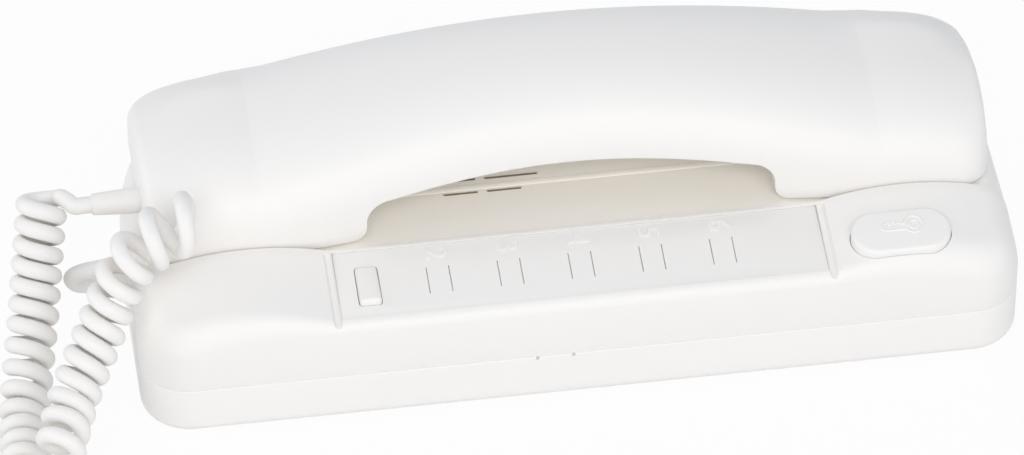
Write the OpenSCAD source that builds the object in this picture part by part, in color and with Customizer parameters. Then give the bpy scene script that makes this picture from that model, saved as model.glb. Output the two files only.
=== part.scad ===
// Wall intercom phone: a base that is screwed to the wall, a handset lying in its cradle and a
// curly cord between them. It lies on its back: X runs along its length, with the cord at -X,
// Y runs across it, with the buttons at -Y, and Z points away from the wall. Millimetres.

/* [Base] */
// Length of the base
base_l = 220; // [212:1:232]
// Width of the base
base_w = 80; // [79:0.5:84]
// Radius of the base's corners at the button side, seen from the front
base_r = 12.5; // [12:0.5:20]
// Radius of the base's corners at the far side
far_r = 28; // [20:1:28]
// Height of the back plate, up to the parting line
plate_h = 14.5; // [14:0.5:15]
// Radius of the back plate's edge at the wall
plate_edge_r = 3.5; // [3:0.5:9]
// Wall thickness of the base
base_wall = 2.5; // [2:0.1:3]
// How much lower than the cradle's floor the button face is at the near wall
face_fall = 3; // [1:0.5:4]
// Tilt of the button face in degrees
face_tilt = 10; // [8:0.5:12]
// Depth of the button face, from the near wall to the cradle
face_d = 24; // [23:0.5:25]
// Thickness of the cover under the button face
face_wall = 4.4; // [4:0.1:5]
// Height of the cradle's floor
cradle_h = 34; // [33:0.5:35]
// Rise of the crowned ends above the button face
crown_h = 3; // [1:0.5:4]
// Where each crown is highest, from the middle
crown_x = 82; // [78:1:86]
// Height of the round at the cover's ends
end_h = 11.5; // [8:0.5:12]
// Length of the round at the cover's ends
end_d = 7.5; // [4:0.5:8]

/* [Button panel] */
// Distance of the two end grooves from the middle
groove_x = 61.5; // [60:0.5:63]
// Width of the end grooves
groove_w = 2; // [1.5:0.1:2.5]
// Thickness of the panel
panel_t = 1.8; // [1.4:0.1:2.2]
// How far the panel lies below the button face
panel_drop = 0.4; // [0.2:0.1:0.8]
// Distance of the panel's lower edge from the near wall, along the face
panel_v = 2.6; // [2:0.2:4]
// Number of button places
place_n = 6; // [4:1:6]
// Distance between button places
place_pitch = 17.65; // [16:0.05:18]
// Where the first button place lies
place_x = -52.8; // [-53.5:0.1:-51]
// Distance of the button row from the near wall
row_v = 12; // [11:0.5:13]
// Length of the slits that mark a blank place
slit_l = 8; // [6:0.5:10]
// Distance between the two slits of a place
slit_gap = 5.9; // [5:0.1:7]

/* [Buttons] */
// Width of the call button
call_w = 5.5; // [4.5:0.1:6.5]
// Length of the call button
call_l = 11.5; // [10:0.5:12]
// Length of the door button
door_l = 25; // [20:0.5:28]
// Width of the door button
door_w = 12.5; // [10:0.5:13]
// Where the door button lies along the base
door_x = 79.4; // [78:0.2:82]
// Distance of the door button from the near wall
door_v = 9; // [8.5:0.5:10]
// Travel of the buttons
button_travel = 1.5; // [0.8:0.1:2]
// How far a button stands out of its face
button_proud = 1.2; // [1:0.1:2]
// Gap round a button
button_gap = 0.4; // [0.3:0.05:0.6]

/* [Handset] */
// Length of the handset
hand_l = 211; // [206:1:212]
// How far the handset's far side lies inside the base's
hand_in = 0.4; // [0.1:0.1:2]
// Gap between the handset and the base
hand_gap = 0.4; // [0.3:0.1:0.8]
// Height of the grip's highest point above the handset's lower edge
hand_h = 32; // [29:0.5:36]
// Height of the handset's ends above its lower edge
end_rise = 22.8; // [21.5:0.1:23.5]
// Radius of the grip's arch
arch_r = 323; // [300:1:400]
// How much narrower the grip is than the ends
waist = 7.6; // [4:0.2:9]
// Height of the crown above the straight side, in a section
dome_h = 16.5; // [14:0.5:18]
// Wall thickness of the handset's outer shell
hand_wall = 2.5; // [2:0.1:3]
// Thickness of the handset's inner shell
inner_t = 2.2; // [1.8:0.1:2.6]
// Radius of the handset's corners, seen from the front
hand_r = 8.5; // [8:0.5:14]
// Width of the bevel at the handset's ends
end_bevel = 4.5; // [3:0.5:6]
// Half the length of the finger opening
grip_x = 51; // [48:0.5:52]
// Height of the finger opening above the handset's lower edge, in the middle
grip_h = 15.6; // [13:0.2:16]

/* [Cord] */
// Diameter of the cord
cord_d = 4.2; // [3.6:0.1:4.2]
// Diameter of the cord boots where they leave a shell
boot_d = 6.4; // [6:0.1:7]
// Height of the boot on the base
base_boot_z = 18.5; // [18.5:0.5:19]
// Height of the boot on the handset above the handset's lower edge
hand_boot_h = 7; // [7:0.5:7.5]

/* [Wall fixing] */
// Distance between the two wall screws
screw_gap = 83.5; // [80:0.5:88]
// Diameter of the wall screw holes
screw_hole = 4.5; // [4:0.1:5]
// Where the wall screws lie across the base
screw_y = 28; // [26:0.5:30]
// Length of the cable entry
entry_l = 24; // [18:1:28]
// Width of the cable entry
entry_w = 20; // [16:1:22]

/* [Hidden] */
$fn = 48;

// Colours
ivory = [0.95, 0.94, 0.91];
board_green = [0.16, 0.38, 0.2];
dark = [0.12, 0.12, 0.13];
steel = [0.72, 0.73, 0.75];
terminal_blue = [0.2, 0.35, 0.6];
foam = [0.25, 0.25, 0.27];

// Clearances and small sizes
fit = 0.3;
slip = 0.1;
eps = 0.01;
half_l = base_l / 2;
half_w = base_w / 2;
cradle_y = face_d - half_w;
face_h = cradle_h - face_fall;
row_y = row_v - half_w;
door_y = door_v - half_w;
face_rise = tan(face_tilt);
pocket_d = panel_t + panel_drop;
ceiling = cradle_h - base_wall;
slit_w = 0.5;
slit_d = 0.8;
crease_r = 3;
crease_end_r = 8;
crease_run = 30;
low = face_h - face_wall - crease_end_r / 2;
corner_n = 8;
ridge_w = 1.2;
ridge_h = 0.8;
ridge_y = 1.2;
ridge_l = 96;
lip = 1.2;
step_h = 0.6;
notch_w = 0.8;
notch_h = 0.9;
notch_x = [-12.5, -3.5];
hook_tab_w = 8;
hook_tab_h = low - plate_h - fit;
hook_tab_t = 1.5;
hook_tab_x = 70;

// Place of the handset
hand_z = cradle_h + 0.5;
hand_top = hand_z + hand_h;
end_top = hand_z + end_rise;
hand_boot_z = hand_z + hand_boot_h;
hand_near_y = cradle_y + hand_gap;
hand_far_y = half_w - hand_in;
hand_mid_y = (hand_near_y + hand_far_y) / 2;

// Circuit board and what stands on it
board_z = 16;
board_t = 1.6;
board_x = [-94, 96];
board_y = [2.5 - half_w + base_wall, cradle_y + 8];
board_top = board_z + board_t;
post_r = 3.5;
board_screw_at = [[-90, cradle_y + 3], [90, cradle_y + 3], [-26, 9 - half_w], [52, 9 - half_w]];
board_screw_r = 1.3;
board_screw_l = 9;
speaker_screw_l = 7;
board_screw_head_r = 2.8;
screw_head_h = 1.8;
switch_w = 6;
switch_h = 3.5;
knob_r = 1.7;
knob_h = 1;
spring_r = 4.75;
spring_d = 0.6;
flange_t = 1.3;
flange_w = 11.6;
flange_over = 1.4;
wing_w = 6;
terminal_size = [40, 9, 10];
terminal_at = [12, cradle_y - 1.5];
terminal_n = 4;
terminal_screw_r = 1.7;
connector_size = [10, 6, 7];
connector_at = [-76, cradle_y - 1];

// Hook plunger
hook_at = [-62, hand_mid_y];
hook_w = 7;
hook_l = 11;
hook_travel = 4;
hook_top = cradle_h + 0.2;
hook_switch_size = [14, 13, 7];
hook_seat_z = 10;

// Call speaker behind its grille
speaker_r = 18;
speaker_gap = 2.9;
speaker_at = [-21, half_w - base_wall - crease_r - speaker_r - speaker_gap];
speaker_h = 9.5;
grille_r = 16.7;
slot_pitch = 4.7;
slot_w = 1.5;
slot_rib = 2;
slot_rows = 3;
clip_w = 8;
clip_t = 1.5;
clip_reach = 24;

// Handset
hand_half = hand_l / 2;
shoulder_x = sqrt(2 * arch_r * (hand_top - end_top));
shoulder_run = 13;
section_power = 2.3;
corner_low_r = 3.5;
corner_high_r = 6;
corner_high_z = 5.4;
ear_at = [76, hand_mid_y];
ear_r = 15.5;
ear_h = 8;
gasket_t = 1.5;
mic_at = [-84, hand_mid_y];
mic_r = 4.85;
mic_h = 6;
mic_boot_t = 2;
lobe_h = 2;
lobe_gap = 1.5;
lobe_over = 4;
hand_screw_in = 8.6;
hand_screw_at = [[-60, hand_far_y - hand_screw_in], [60, hand_far_y - hand_screw_in]];
hand_screw_r = 1.3;
hand_screw_l = 10;
cup_t = 1.6;
cup_h = 6;
hand_boss_h = 4;
hole_r = 1;

// Cord boots
base_boot_y = -2;
hand_boot_y = 2;
base_boot_out = 5;
hand_boot_out = 12;
boot_flange_r = 4.2;
boot_flange_t = 1.6;
boot_tip_r = 2.7;

// Route of the cord, in round numbers: the straight tail from the base, the middle line of the
// curls as place, distance from curl to curl and radius of the curls, and the neck at the handset
tail_route = [
    [-122.4, -3, 20], [-123.8, -5, 24], [-121.8, -7.6, 28], [-117.5, -10.5, 31.5], [-112.5, -13.5, 35],
    [-107.5, -16.5, 39], [-101, -18.6, 43.5], [-96.5, -19, 50]
];
curl_route = [
    [-94.5, -25, 57.5, 8.4, 6], [-102.6, -27, 56, 8, 5.8], [-109, -29.2, 52.6, 7.2, 5.3],
    [-113, -31.2, 47.6, 6.4, 4.8], [-116, -33.4, 42.2, 5.8, 4.5], [-118.8, -36.4, 37.2, 5.2, 4.4],
    [-121.8, -40, 32.8, 5.1, 4.4], [-124.8, -44, 28.8, 5.3, 4.4], [-127.6, -48.6, 25.4, 5.6, 4.4],
    [-130.2, -54.6, 23, 5.8, 4.4], [-132.4, -62, 21.8, 7.6, 4.4], [-133.7, -68.2, 19.6, 10.8, 4.4],
    [-136.8, -70.8, 14.3, 11.4, 4.4], [-139.8, -68.2, 8.9, 10.8, 4.4], [-141, -62, 6.7, 7.6, 4.4],
    [-140.6, -54, 6.7, 5.4, 4.4], [-140, -45.5, 6.7, 5, 4.4], [-139.6, -37, 7, 5.6, 4.4],
    [-138.2, -28.8, 9.2, 5.9, 4.4], [-136.4, -20.8, 13.8, 5.6, 4.4], [-134.4, -13.2, 20, 5.1, 4.4],
    [-132.7, -6.4, 27.2, 4.9, 4.4], [-131, -0.4, 35, 4.9, 4.4], [-129.2, 6, 43, 4.9, 4.4]
];
neck_route = [[-123.1, 3.4, 42]];

// The route moves with the base's end, and it starts and ends at the tips of the two boots
route_end = 110;
function moved(p) = [for (q = p)
    [for (k = [0 : len(q) - 1]) k == 0 ? q[0] + route_end - half_l : q[k]]];
base_tip = [-half_l - base_boot_out, base_boot_y, base_boot_z];
hand_tip = [-hand_half - hand_boot_out, hand_boot_y, hand_boot_z];
straight = [cord_d / 2, 0, 0];
tail = concat([base_tip, base_tip - straight, base_tip - 2 * straight], moved(tail_route));
curl_axis = moved(curl_route);
neck = concat(moved(neck_route), [hand_tip - 2 * straight, hand_tip - straight, hand_tip]);
axis_steps = 10;
curl_rings = 8;
cord_sides = 6;
tail_steps = 2;

// Lists and vectors
function unit(v) = v / norm(v);
function square_to(v, t) = unit(v - (v * t) * t);
function xyz(p) = [p[0], p[1], p[2]];

// A smooth curve through the points of p, with n steps from each point to the next
function curve(p, n) = concat(
    [for (i = [0 : len(p) - 2])
        for (k = [0 : n - 1])
            let (
                a = p[max(i - 1, 0)],
                b = p[i],
                c = p[i + 1],
                d = p[min(i + 2, len(p) - 1)],
                t = k / n
            )
            (2 * b + (c - a) * t + (2 * a - 5 * b + 4 * c - d) * t * t
                + (3 * b - a - 3 * c + d) * t * t * t) / 2],
    [p[len(p) - 1]]
);

// The directions along a line of points, and a vector carried along it square to them
function along(p) = [for (i = [0 : len(p) - 1])
    unit(p[min(i + 1, len(p) - 1)] - p[max(i - 1, 0)])];
function carried(t, first) = [
    for (i = 0, v = square_to(first, t[0]);
        i < len(t);
        i = i + 1, v = square_to(v, t[min(i, len(t) - 1)])) v];

// Triangles of a skin over rings that each have s points
function skin(rings, s) = concat(
    [for (k = [1 : s - 2]) [0, k, k + 1]],
    [for (i = [0 : rings - 2])
        for (k = [0 : s - 1])
            let (a = i * s + k, b = i * s + (k + 1) % s)
            each [[a, b + s, b], [a, a + s, b + s]]],
    [for (k = [1 : s - 2]) let (e = (rings - 1) * s) [e, e + k + 1, e + k]]
);

module tube(p, r, sides, first) {
    t = along(p);
    n = carried(t, first);
    polyhedron(
        [for (i = [0 : len(p) - 1])
            for (k = [0 : sides - 1])
                let (a = 360 * k / sides)
                p[i] + r * (cos(a) * n[i] + sin(a) * cross(t[i], n[i]))],
        skin(len(p), sides));
}

// A skin over sections across X: xs are their places, and each section is a list of [y, z]
module loft(xs, sections) {
    s = len(sections[0]);
    polyhedron(
        [for (i = [0 : len(xs) - 1]) for (q = sections[i]) [xs[i], q[0], q[1]]],
        skin(len(xs), s));
}

// Places along X, closer together towards the two ends
function places(half, n) = [for (i = [-n : n]) half * sin(90 * i / n)];

// A block over its middle point at height z
module block(at, size, z, h) {
    translate([at[0] - size[0] / 2, at[1] - size[1] / 2, z]) cube([size[0], size[1], h]);
}

module post(at, r, z, h) {
    translate([at[0], at[1], z]) cylinder(r = r, h = h);
}

// A ring with a square section
module ring(at, r_in, r_out, z, h) {
    difference() {
        post(at, r_out, z, h);
        post(at, r_in, z - 1, h + 2);
    }
}

// The frame of the tilted button face: its plane is z = 0 and y runs up the face
module on_face() {
    translate([0, -half_w, face_h]) rotate([face_tilt, 0, 0]) children();
}

// Everything above the button face, by a distance
module above_face(d) {
    on_face() translate([-base_l, -base_w, d]) cube([2 * base_l, 3 * base_w, base_w]);
}

// Screw with a round head: the head lies from z by h towards dir, the shank runs the other way
module screw(at, z, dir, head_r, head_h, shank_r, shank_l) {
    translate([at[0], at[1], z]) mirror([0, 0, dir > 0 ? 0 : 1]) {
        cylinder(r = head_r, h = head_h);
        translate([0, 0, -shank_l]) cylinder(r = shank_r, h = shank_l);
    }
}

// Helical spring of round wire, with straight ends along Z left out
module spring(at, r, d, z, h, turns) {
    n = turns * curl_rings;
    tube([for (i = [0 : n])
            let (a = 360 * i / curl_rings)
            [at[0] + r * cos(a), at[1] + r * sin(a), z + d / 2 + (h - d) * i / n]],
        d / 2, cord_sides, [0, 0, 1]);
}

// Form of the base's top
function face_z(y) = face_h + (y + half_w) * face_rise;
function crown(x) = abs(x) < groove_x ? 0
    : crown_h * (1 - pow((abs(x) - crown_x) / (crown_x - groove_x), 2));
function round_in(d, r) = d < r ? r - sqrt(r * r - pow(r - d, 2)) : 0;
function end_drop(x) = let (s = max(1 - (half_l - abs(x)) / end_d, 0))
    end_h * (1 - pow(1 - pow(s, section_power), 1 / section_power));
function side_y(x, r) = half_w - round_in(half_l - abs(x), r);
function crease(x) = crease_r
    + (crease_end_r - crease_r) * min(max((abs(x) - groove_x) / crease_run, 0), 1);

function cover_section(x) =
    let (
        y = side_y(x, base_r),
        far = side_y(x, far_r),
        rise = crown(x) - end_drop(x),
        r = min(crease(x), (y + cradle_y) * 0.8, (face_h + rise - plate_h) * 0.6),
        top = face_z(r - y) + rise,
        step_z = face_z(cradle_y) + rise,
        floor_z = min(cradle_h - end_drop(x), step_z - step_h),
        n = 5
    )
    concat(
        [[far, plate_h], [far, floor_z - crease_r]],
        [for (k = [1 : 3]) let (a = 30 * k)
            [far - crease_r * (1 - cos(a)), floor_z - crease_r * (1 - sin(a))]],
        [[cradle_y, floor_z], [cradle_y, step_z]],
        [for (k = [n : -1 : 1]) let (a = 90 * k / n)
            [-y + r * (1 - cos(a)), top - r * (1 - sin(a))]],
        [[-y, top - r], [-y, plate_h]]
    );

// Parts of the base
function base_outline(d) = [for (c = [0 : 3])
    for (k = [0 : corner_n])
        let (
            a = 90 * (c + k / corner_n),
            sx = c == 0 || c == 3 ? 1 : -1,
            sy = c < 2 ? 1 : -1,
            r = c < 2 ? far_r : base_r
        )
        [sx * (half_l - r) + (r - d) * cos(a), sy * (half_w - r) + (r - d) * sin(a)]];
function outline_ring(d, z) = [for (q = base_outline(d)) [q[0], q[1], z]];

// Outside of the back plate: rings of its outline, drawn in towards the wall
module plate_form() {
    n = 4;
    rings = concat(
        [for (k = [0 : n])
            let (a = 90 * k / n)
            outline_ring(plate_edge_r * (1 - sin(a)), plate_edge_r * (1 - cos(a)))],
        [outline_ring(0, plate_h)]
    );
    polyhedron([for (r = rings) each r], skin(len(rings), len(rings[0])));
}

// The room inside the base's walls, from height z by h
module base_hollow(z, h) {
    translate([0, 0, z]) linear_extrude(h) polygon(base_outline(base_wall));
}

module back_plate() color(ivory) {
    difference() {
        plate_form();
        base_hollow(base_wall, plate_h);
        for (x = [-1, 1]) {
            post([x * screw_gap / 2, screw_y], screw_hole / 2, -1, base_wall + 2);
        }
        block(entry_at, [entry_l, entry_w], -1, base_wall + 2);
        for (x = notch_x) {
            block([x, -half_w], [notch_w, 2 * notch_h], plate_h - notch_h, notch_h + 1);
        }
    }
    for (p = board_screw_at) {
        difference() {
            post(p, post_r, base_wall, board_z - base_wall);
            post(p, board_screw_r + slip, base_wall + 1, board_z);
        }
    }
    block(hook_at, [hook_switch_size[0], hook_switch_size[1]], base_wall, hook_seat_z - base_wall);
    for (x = [-1, 1]) {
        for (y = [-1, 1]) {
            translate([
                x * hook_tab_x - hook_tab_w / 2,
                y > 0 ? half_w - base_wall - slip - hook_tab_t : base_wall + slip - half_w,
                base_wall
            ])
            cube([hook_tab_w, hook_tab_t, plate_h + hook_tab_h - base_wall]);
        }
    }
}

entry_at = [50, 10];

module front_cover() color(ivory) {
    xs = places(half_l - eps, 16);
    difference() {
        union() {
            difference() {
                loft(xs, [for (x = xs) cover_section(x)]);
                cover_inside();
            }
            ring(speaker_at, speaker_r + fit, speaker_r + fit + clip_t, ceiling - 5, 5 + eps);
            for (x = [-1, 1]) {
                post([speaker_at[0] + x * clip_reach, speaker_at[1]], post_r,
                    ceiling - speaker_h, speaker_h + eps);
            }
            block([0, ridge_y], [ridge_l, ridge_w], cradle_h - eps, ridge_h);
            post(ear_at, ear_r + lobe_over + lobe_gap + base_wall, dish_z - base_wall,
                cradle_h - dish_z + base_wall - eps);
            post(mic_at, mic_boot_r + lobe_over + lobe_gap + base_wall, dish_z - base_wall,
                cradle_h - dish_z + base_wall - eps);
        }
        post(ear_at, ear_r + lobe_over + lobe_gap, dish_z, cradle_h);
        post(mic_at, mic_boot_r + lobe_over + lobe_gap, dish_z, cradle_h);
        grille();
        panel_pocket();
        block([place_x, row_y], [call_w + 2 * button_gap, call_l + 2 * button_gap], low + 1, base_w);
        obround([door_x, door_y], door_l + 2 * button_gap, door_w + 2 * button_gap, low + 1, base_w);
        block(hook_at, [hook_w + 2 * fit, hook_l + 2 * fit], ceiling - eps - base_wall, base_w);
        translate([-half_l - 1, base_boot_y, base_boot_z]) rotate([0, 90, 0])
            cylinder(d = boot_d + 2 * slip, h = base_r);
        for (x = [-1, 1]) {
            post([speaker_at[0] + x * clip_reach, speaker_at[1]], board_screw_r + slip,
                ceiling - speaker_h - 1, speaker_h - 1);
        }
    }
}

dish_z = hand_z - lobe_h - lobe_gap;
mic_boot_r = mic_r + mic_boot_t;

// Hollow of the cover: a straight part above the rim, one under the cradle, one under the face
module cover_inside() {
    inner_l = base_l - 2 * base_wall;
    cave_l = inner_l - 2 * end_d;
    back_l = base_l - 1.4 * far_r;
    base_hollow(plate_h - 1, low - plate_h + 1);
    translate([-back_l / 2, cradle_y + base_wall, plate_h])
        cube([back_l, half_w - cradle_y - 2 * base_wall - crease_r, ceiling - plate_h]);
    intersection() {
        translate([-cave_l / 2, base_wall + crease_r - half_w, plate_h])
            cube([cave_l, face_d - crease_r, base_w]);
        on_face() translate([-base_l, -base_w, -base_w - face_wall])
            cube([2 * base_l, 3 * base_w, base_w]);
    }
}

// Rows of slots with round ends over the call speaker, with a rib down their middle
module grille() {
    r = slot_w / 2;
    for (i = [-slot_rows : slot_rows]) {
        l = sqrt(grille_r * grille_r - pow(i * slot_pitch, 2)) - slot_rib / 2;
        for (s = [-1, 1]) {
            hull() {
                for (x = [r, l - r]) {
                    translate([
                        speaker_at[0] + s * (slot_rib / 2 + x),
                        speaker_at[1] + i * slot_pitch,
                        ceiling - 1
                    ])
                    cylinder(r = r, h = base_wall + ridge_h + 2, $fn = 12);
                }
            }
        }
    }
}

face_v = face_d / cos(face_tilt);

module panel_pocket() {
    wide = 2 * groove_x + groove_w;
    on_face() {
        translate([-wide / 2, panel_v, -pocket_d]) cube([wide, face_v - lip - panel_v, base_w]);
        for (s = [-1, 1]) {
            translate([s * groove_x - groove_w / 2, -crease_r, -pocket_d])
                cube([groove_w, 2 * crease_r + panel_v, base_w]);
        }
    }
}

module obround(at, l, w, z, h) {
    translate([at[0], at[1], z]) linear_extrude(h) {
        square([l - w, w], center = true);
        for (s = [-1, 1]) {
            translate([s * (l - w) / 2, 0]) circle(d = w);
        }
    }
}

module button_panel() color(ivory) {
    long = 2 * groove_x - groove_w;
    difference() {
        on_face() translate([-long / 2, panel_v + slip, -pocket_d])
            cube([long, face_v - lip - panel_v - 2 * slip, panel_t]);
        block([place_x, row_y], [call_w + 2 * button_gap, call_l + 2 * button_gap], 0, base_w);
        for (i = [1 : place_n - 1]) {
            for (s = [-1, 1]) {
                on_face() translate([
                    place_x + i * place_pitch + s * slit_gap / 2 - slit_w / 2,
                    (row_y + half_w) / cos(face_tilt) - slit_l / 2,
                    -panel_drop - slit_d
                ])
                cube([slit_w, slit_l, base_w]);
            }
        }
    }
}

// Heights of a button's flange and of its stem's end, at rest
function flange_z(y, w) = face_z(y - w / 2) - face_wall / cos(face_tilt) - fit - flange_t;
stem_z = board_top + switch_h + knob_h + button_travel + slip;
call_z = flange_z(row_y, call_l);
door_z = flange_z(door_y, wing_w);
call_stem = [place_x, row_y];
stem_in = 1.8;
door_stem = [door_x, door_y + stem_in];

module call_button() color(ivory) {
    difference() {
        block([place_x, row_y], [call_w, call_l], call_z, base_w);
        above_face(button_proud - panel_drop);
    }
    block([place_x, row_y], [flange_w, call_l], call_z, flange_t);
    post(call_stem, knob_r + 1, stem_z, call_z - stem_z + eps);
}

module door_button() color(ivory) {
    difference() {
        obround([door_x, door_y], door_l, door_w, door_z, base_w);
        above_face(button_proud + crown_h);
    }
    obround([door_x, door_y], door_l + 2 * flange_over, wing_w, door_z, flange_t);
    post(door_stem, knob_r + 1, stem_z, door_z - stem_z + eps);
}

module button_switch(at) {
    color(dark) block(at, [switch_w, switch_w], board_top, switch_h);
    color(steel) post(at, knob_r, board_top + switch_h - eps, knob_h + eps);
}

module call_switch() button_switch(call_stem);
module door_switch() button_switch(door_stem);

module call_spring() color(steel)
    spring(call_stem, spring_r, spring_d, board_top, call_z - board_top, 4);

module door_spring() color(steel)
    spring(door_stem, spring_r, spring_d, board_top, door_z - board_top, 4);

module circuit_board() color(board_green) {
    difference() {
        translate([board_x[0], board_y[0], board_z])
            cube([board_x[1] - board_x[0], board_y[1] - board_y[0], board_t]);
        for (p = board_screw_at) {
            post(p, board_screw_r + fit, board_z - 1, board_t + 2);
        }
    }
}

module board_screws() color(steel) {
    for (p = board_screw_at) {
        screw(p, board_top, 1, board_screw_head_r, screw_head_h, board_screw_r, board_screw_l);
    }
}

function terminal_hole(i) =
    [terminal_at[0] + (i + 0.5) * terminal_size[0] / terminal_n, terminal_at[1] + terminal_size[1] / 2];

module terminal_block() color(terminal_blue) {
    difference() {
        translate([terminal_at[0], terminal_at[1], board_top]) cube(terminal_size);
        for (i = [0 : terminal_n - 1]) {
            post(terminal_hole(i), terminal_screw_r + slip, board_top + terminal_size[2] - 4, 5);
            translate([terminal_hole(i)[0] - 1.5, terminal_at[1] + 3, board_top + 2])
                cube([3, terminal_size[1], 3]);
        }
    }
}

module terminal_screws() color(steel) {
    for (i = [0 : terminal_n - 1]) {
        difference() {
            post(terminal_hole(i), terminal_screw_r, board_top + terminal_size[2] - 4, 3);
            block(terminal_hole(i), [0.6, 2 * terminal_screw_r + 1],
                board_top + terminal_size[2] - 2, 2);
        }
    }
}

module cord_connector() color(ivory) {
    difference() {
        translate([connector_at[0], connector_at[1], board_top]) cube(connector_size);
        translate([connector_at[0] + 1, connector_at[1] + 1, board_top + 2])
            cube([connector_size[0] - 2, connector_size[1] - 2, connector_size[2]]);
    }
    for (i = [0 : 3]) {
        post([connector_at[0] + 2 + 2 * i, connector_at[1] + connector_size[1] / 2], 0.4,
            board_top + 2 - eps, 4);
    }
}

hook_flange_z = ceiling - hook_travel - fit - flange_t;
hook_stem_z = hook_seat_z + hook_switch_size[2] + knob_h + slip;

module hook_plunger() color(ivory) {
    block(hook_at, [hook_w, hook_l], hook_flange_z, hook_top - hook_flange_z);
    block(hook_at, [hook_w + 5, hook_l + 2], hook_flange_z, flange_t);
    post(hook_at, knob_r + 0.8, hook_stem_z, hook_flange_z - hook_stem_z + eps);
}

module hook_spring() color(steel) {
    z = hook_seat_z + hook_switch_size[2];
    spring(hook_at, spring_r - 0.6, spring_d, z, hook_flange_z - z, 5);
}

module hook_switch() {
    color(dark) block(hook_at, [hook_switch_size[0], hook_switch_size[1]], hook_seat_z,
        hook_switch_size[2]);
    color(steel) post(hook_at, knob_r, hook_seat_z + hook_switch_size[2] - eps, knob_h + eps);
}

module call_speaker() color(dark) {
    low = ceiling - speaker_h;
    translate([speaker_at[0], speaker_at[1], 0]) rotate_extrude() polygon([
        [0, low], [9, low], [9, low + 4.5], [speaker_r - 3, ceiling - 3], [speaker_r, ceiling - 3],
        [speaker_r, ceiling], [speaker_r - 2, ceiling], [speaker_r - 4, ceiling - 1.5],
        [5, ceiling - 3.5], [0, ceiling - 2.5]
    ]);
}

clip_z = ceiling - speaker_h - clip_t;

module speaker_clip() color(steel) {
    difference() {
        block(speaker_at, [2 * clip_reach + clip_w, clip_w], clip_z, clip_t);
        for (x = [-1, 1]) {
            post([speaker_at[0] + x * clip_reach, speaker_at[1]], board_screw_r + fit, clip_z - 1,
                clip_t + 2);
        }
    }
}

module speaker_screws() color(steel) {
    for (x = [-1, 1]) {
        screw([speaker_at[0] + x * clip_reach, speaker_at[1]], clip_z, -1, board_screw_head_r,
            screw_head_h, board_screw_r, speaker_screw_l);
    }
}

// A cord boot along X: the flange lies inside a wall of thickness w, whose outside is at x
module cord_boot(x, y, z, w, out) {
    translate([x, y, z]) rotate([0, -90, 0]) rotate_extrude() polygon([
        [0, -w - boot_flange_t], [boot_flange_r, -w - boot_flange_t], [boot_flange_r, -w - slip],
        [boot_d / 2, -w - slip], [boot_d / 2, 0.3 * out], [boot_tip_r, out], [0, out]
    ]);
}

module base_cord_boot() color(ivory)
    cord_boot(-half_l, base_boot_y, base_boot_z, base_wall, base_boot_out);

module handset_cord_boot() color(ivory)
    cord_boot(-hand_half, hand_boot_y, hand_boot_z, hand_wall, hand_boot_out);

// The cord's line: points on the middle line of the curls, how many curls lie before each, and
// a vector square to it that starts towards +Y
axis_line = curve(curl_axis, axis_steps);
axis_along = along([for (p = axis_line) xyz(p)]);
axis_side = carried(axis_along, [0, 1, 0]);
curls_before = [
    for (i = 0, c = 0; i < len(axis_line); i = i + 1,
        c = c + (i < len(axis_line) ? 2 * norm(xyz(axis_line[i]) - xyz(axis_line[i - 1]))
            / (axis_line[i][3] + axis_line[i - 1][3]) : 0)) c];
curls = curls_before[len(curls_before) - 1];

// A value along the middle line, after c curls
function at_curl(values, c) = lookup(c, [for (i = [0 : len(values) - 1]) [curls_before[i], values[i]]]);
function vector_at(vectors, c) = [for (k = [0 : 2]) at_curl([for (v = vectors) v[k]], c)];

curl_n = floor(curls * curl_rings);
curl_line = [for (i = [0 : curl_n])
    let (
        c = i / curl_rings,
        t = unit(vector_at(axis_along, c)),
        n = square_to(vector_at(axis_side, c), t),
        a = 360 * c,
        r = at_curl([for (p = axis_line) p[4]], c)
    )
    vector_at(axis_line, c) + r * (cos(a) * n - sin(a) * cross(t, n))];
tail_line = curve(concat(tail, [curl_line[0], curl_line[1]]), tail_steps);
neck_line = curve(concat([curl_line[curl_n - 1], curl_line[curl_n]], neck), tail_steps);
cord_line = concat(
    [for (i = [0 : len(tail) * tail_steps - 1]) tail_line[i]],
    curl_line,
    [for (i = [tail_steps + 1 : len(neck_line) - 1]) neck_line[i]]
);
cord_gap = min([for (i = [0 : len(cord_line) - 1])
    for (j = [i + 5 : 1 : len(cord_line) - 1])
        norm(cord_line[i] - cord_line[j])]) - cord_d;
cord_length = pow(norm([for (i = [1 : len(cord_line) - 1])
    sqrt(norm(cord_line[i] - cord_line[i - 1]))]), 2);

module curly_cord() color(ivory) {
    echo("least gap of the cord to itself", cord_gap);
    echo("curls", curls, "length of the cord", cord_length);
    tube(cord_line, cord_d / 2, cord_sides, [0, 0, 1]);
}

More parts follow.
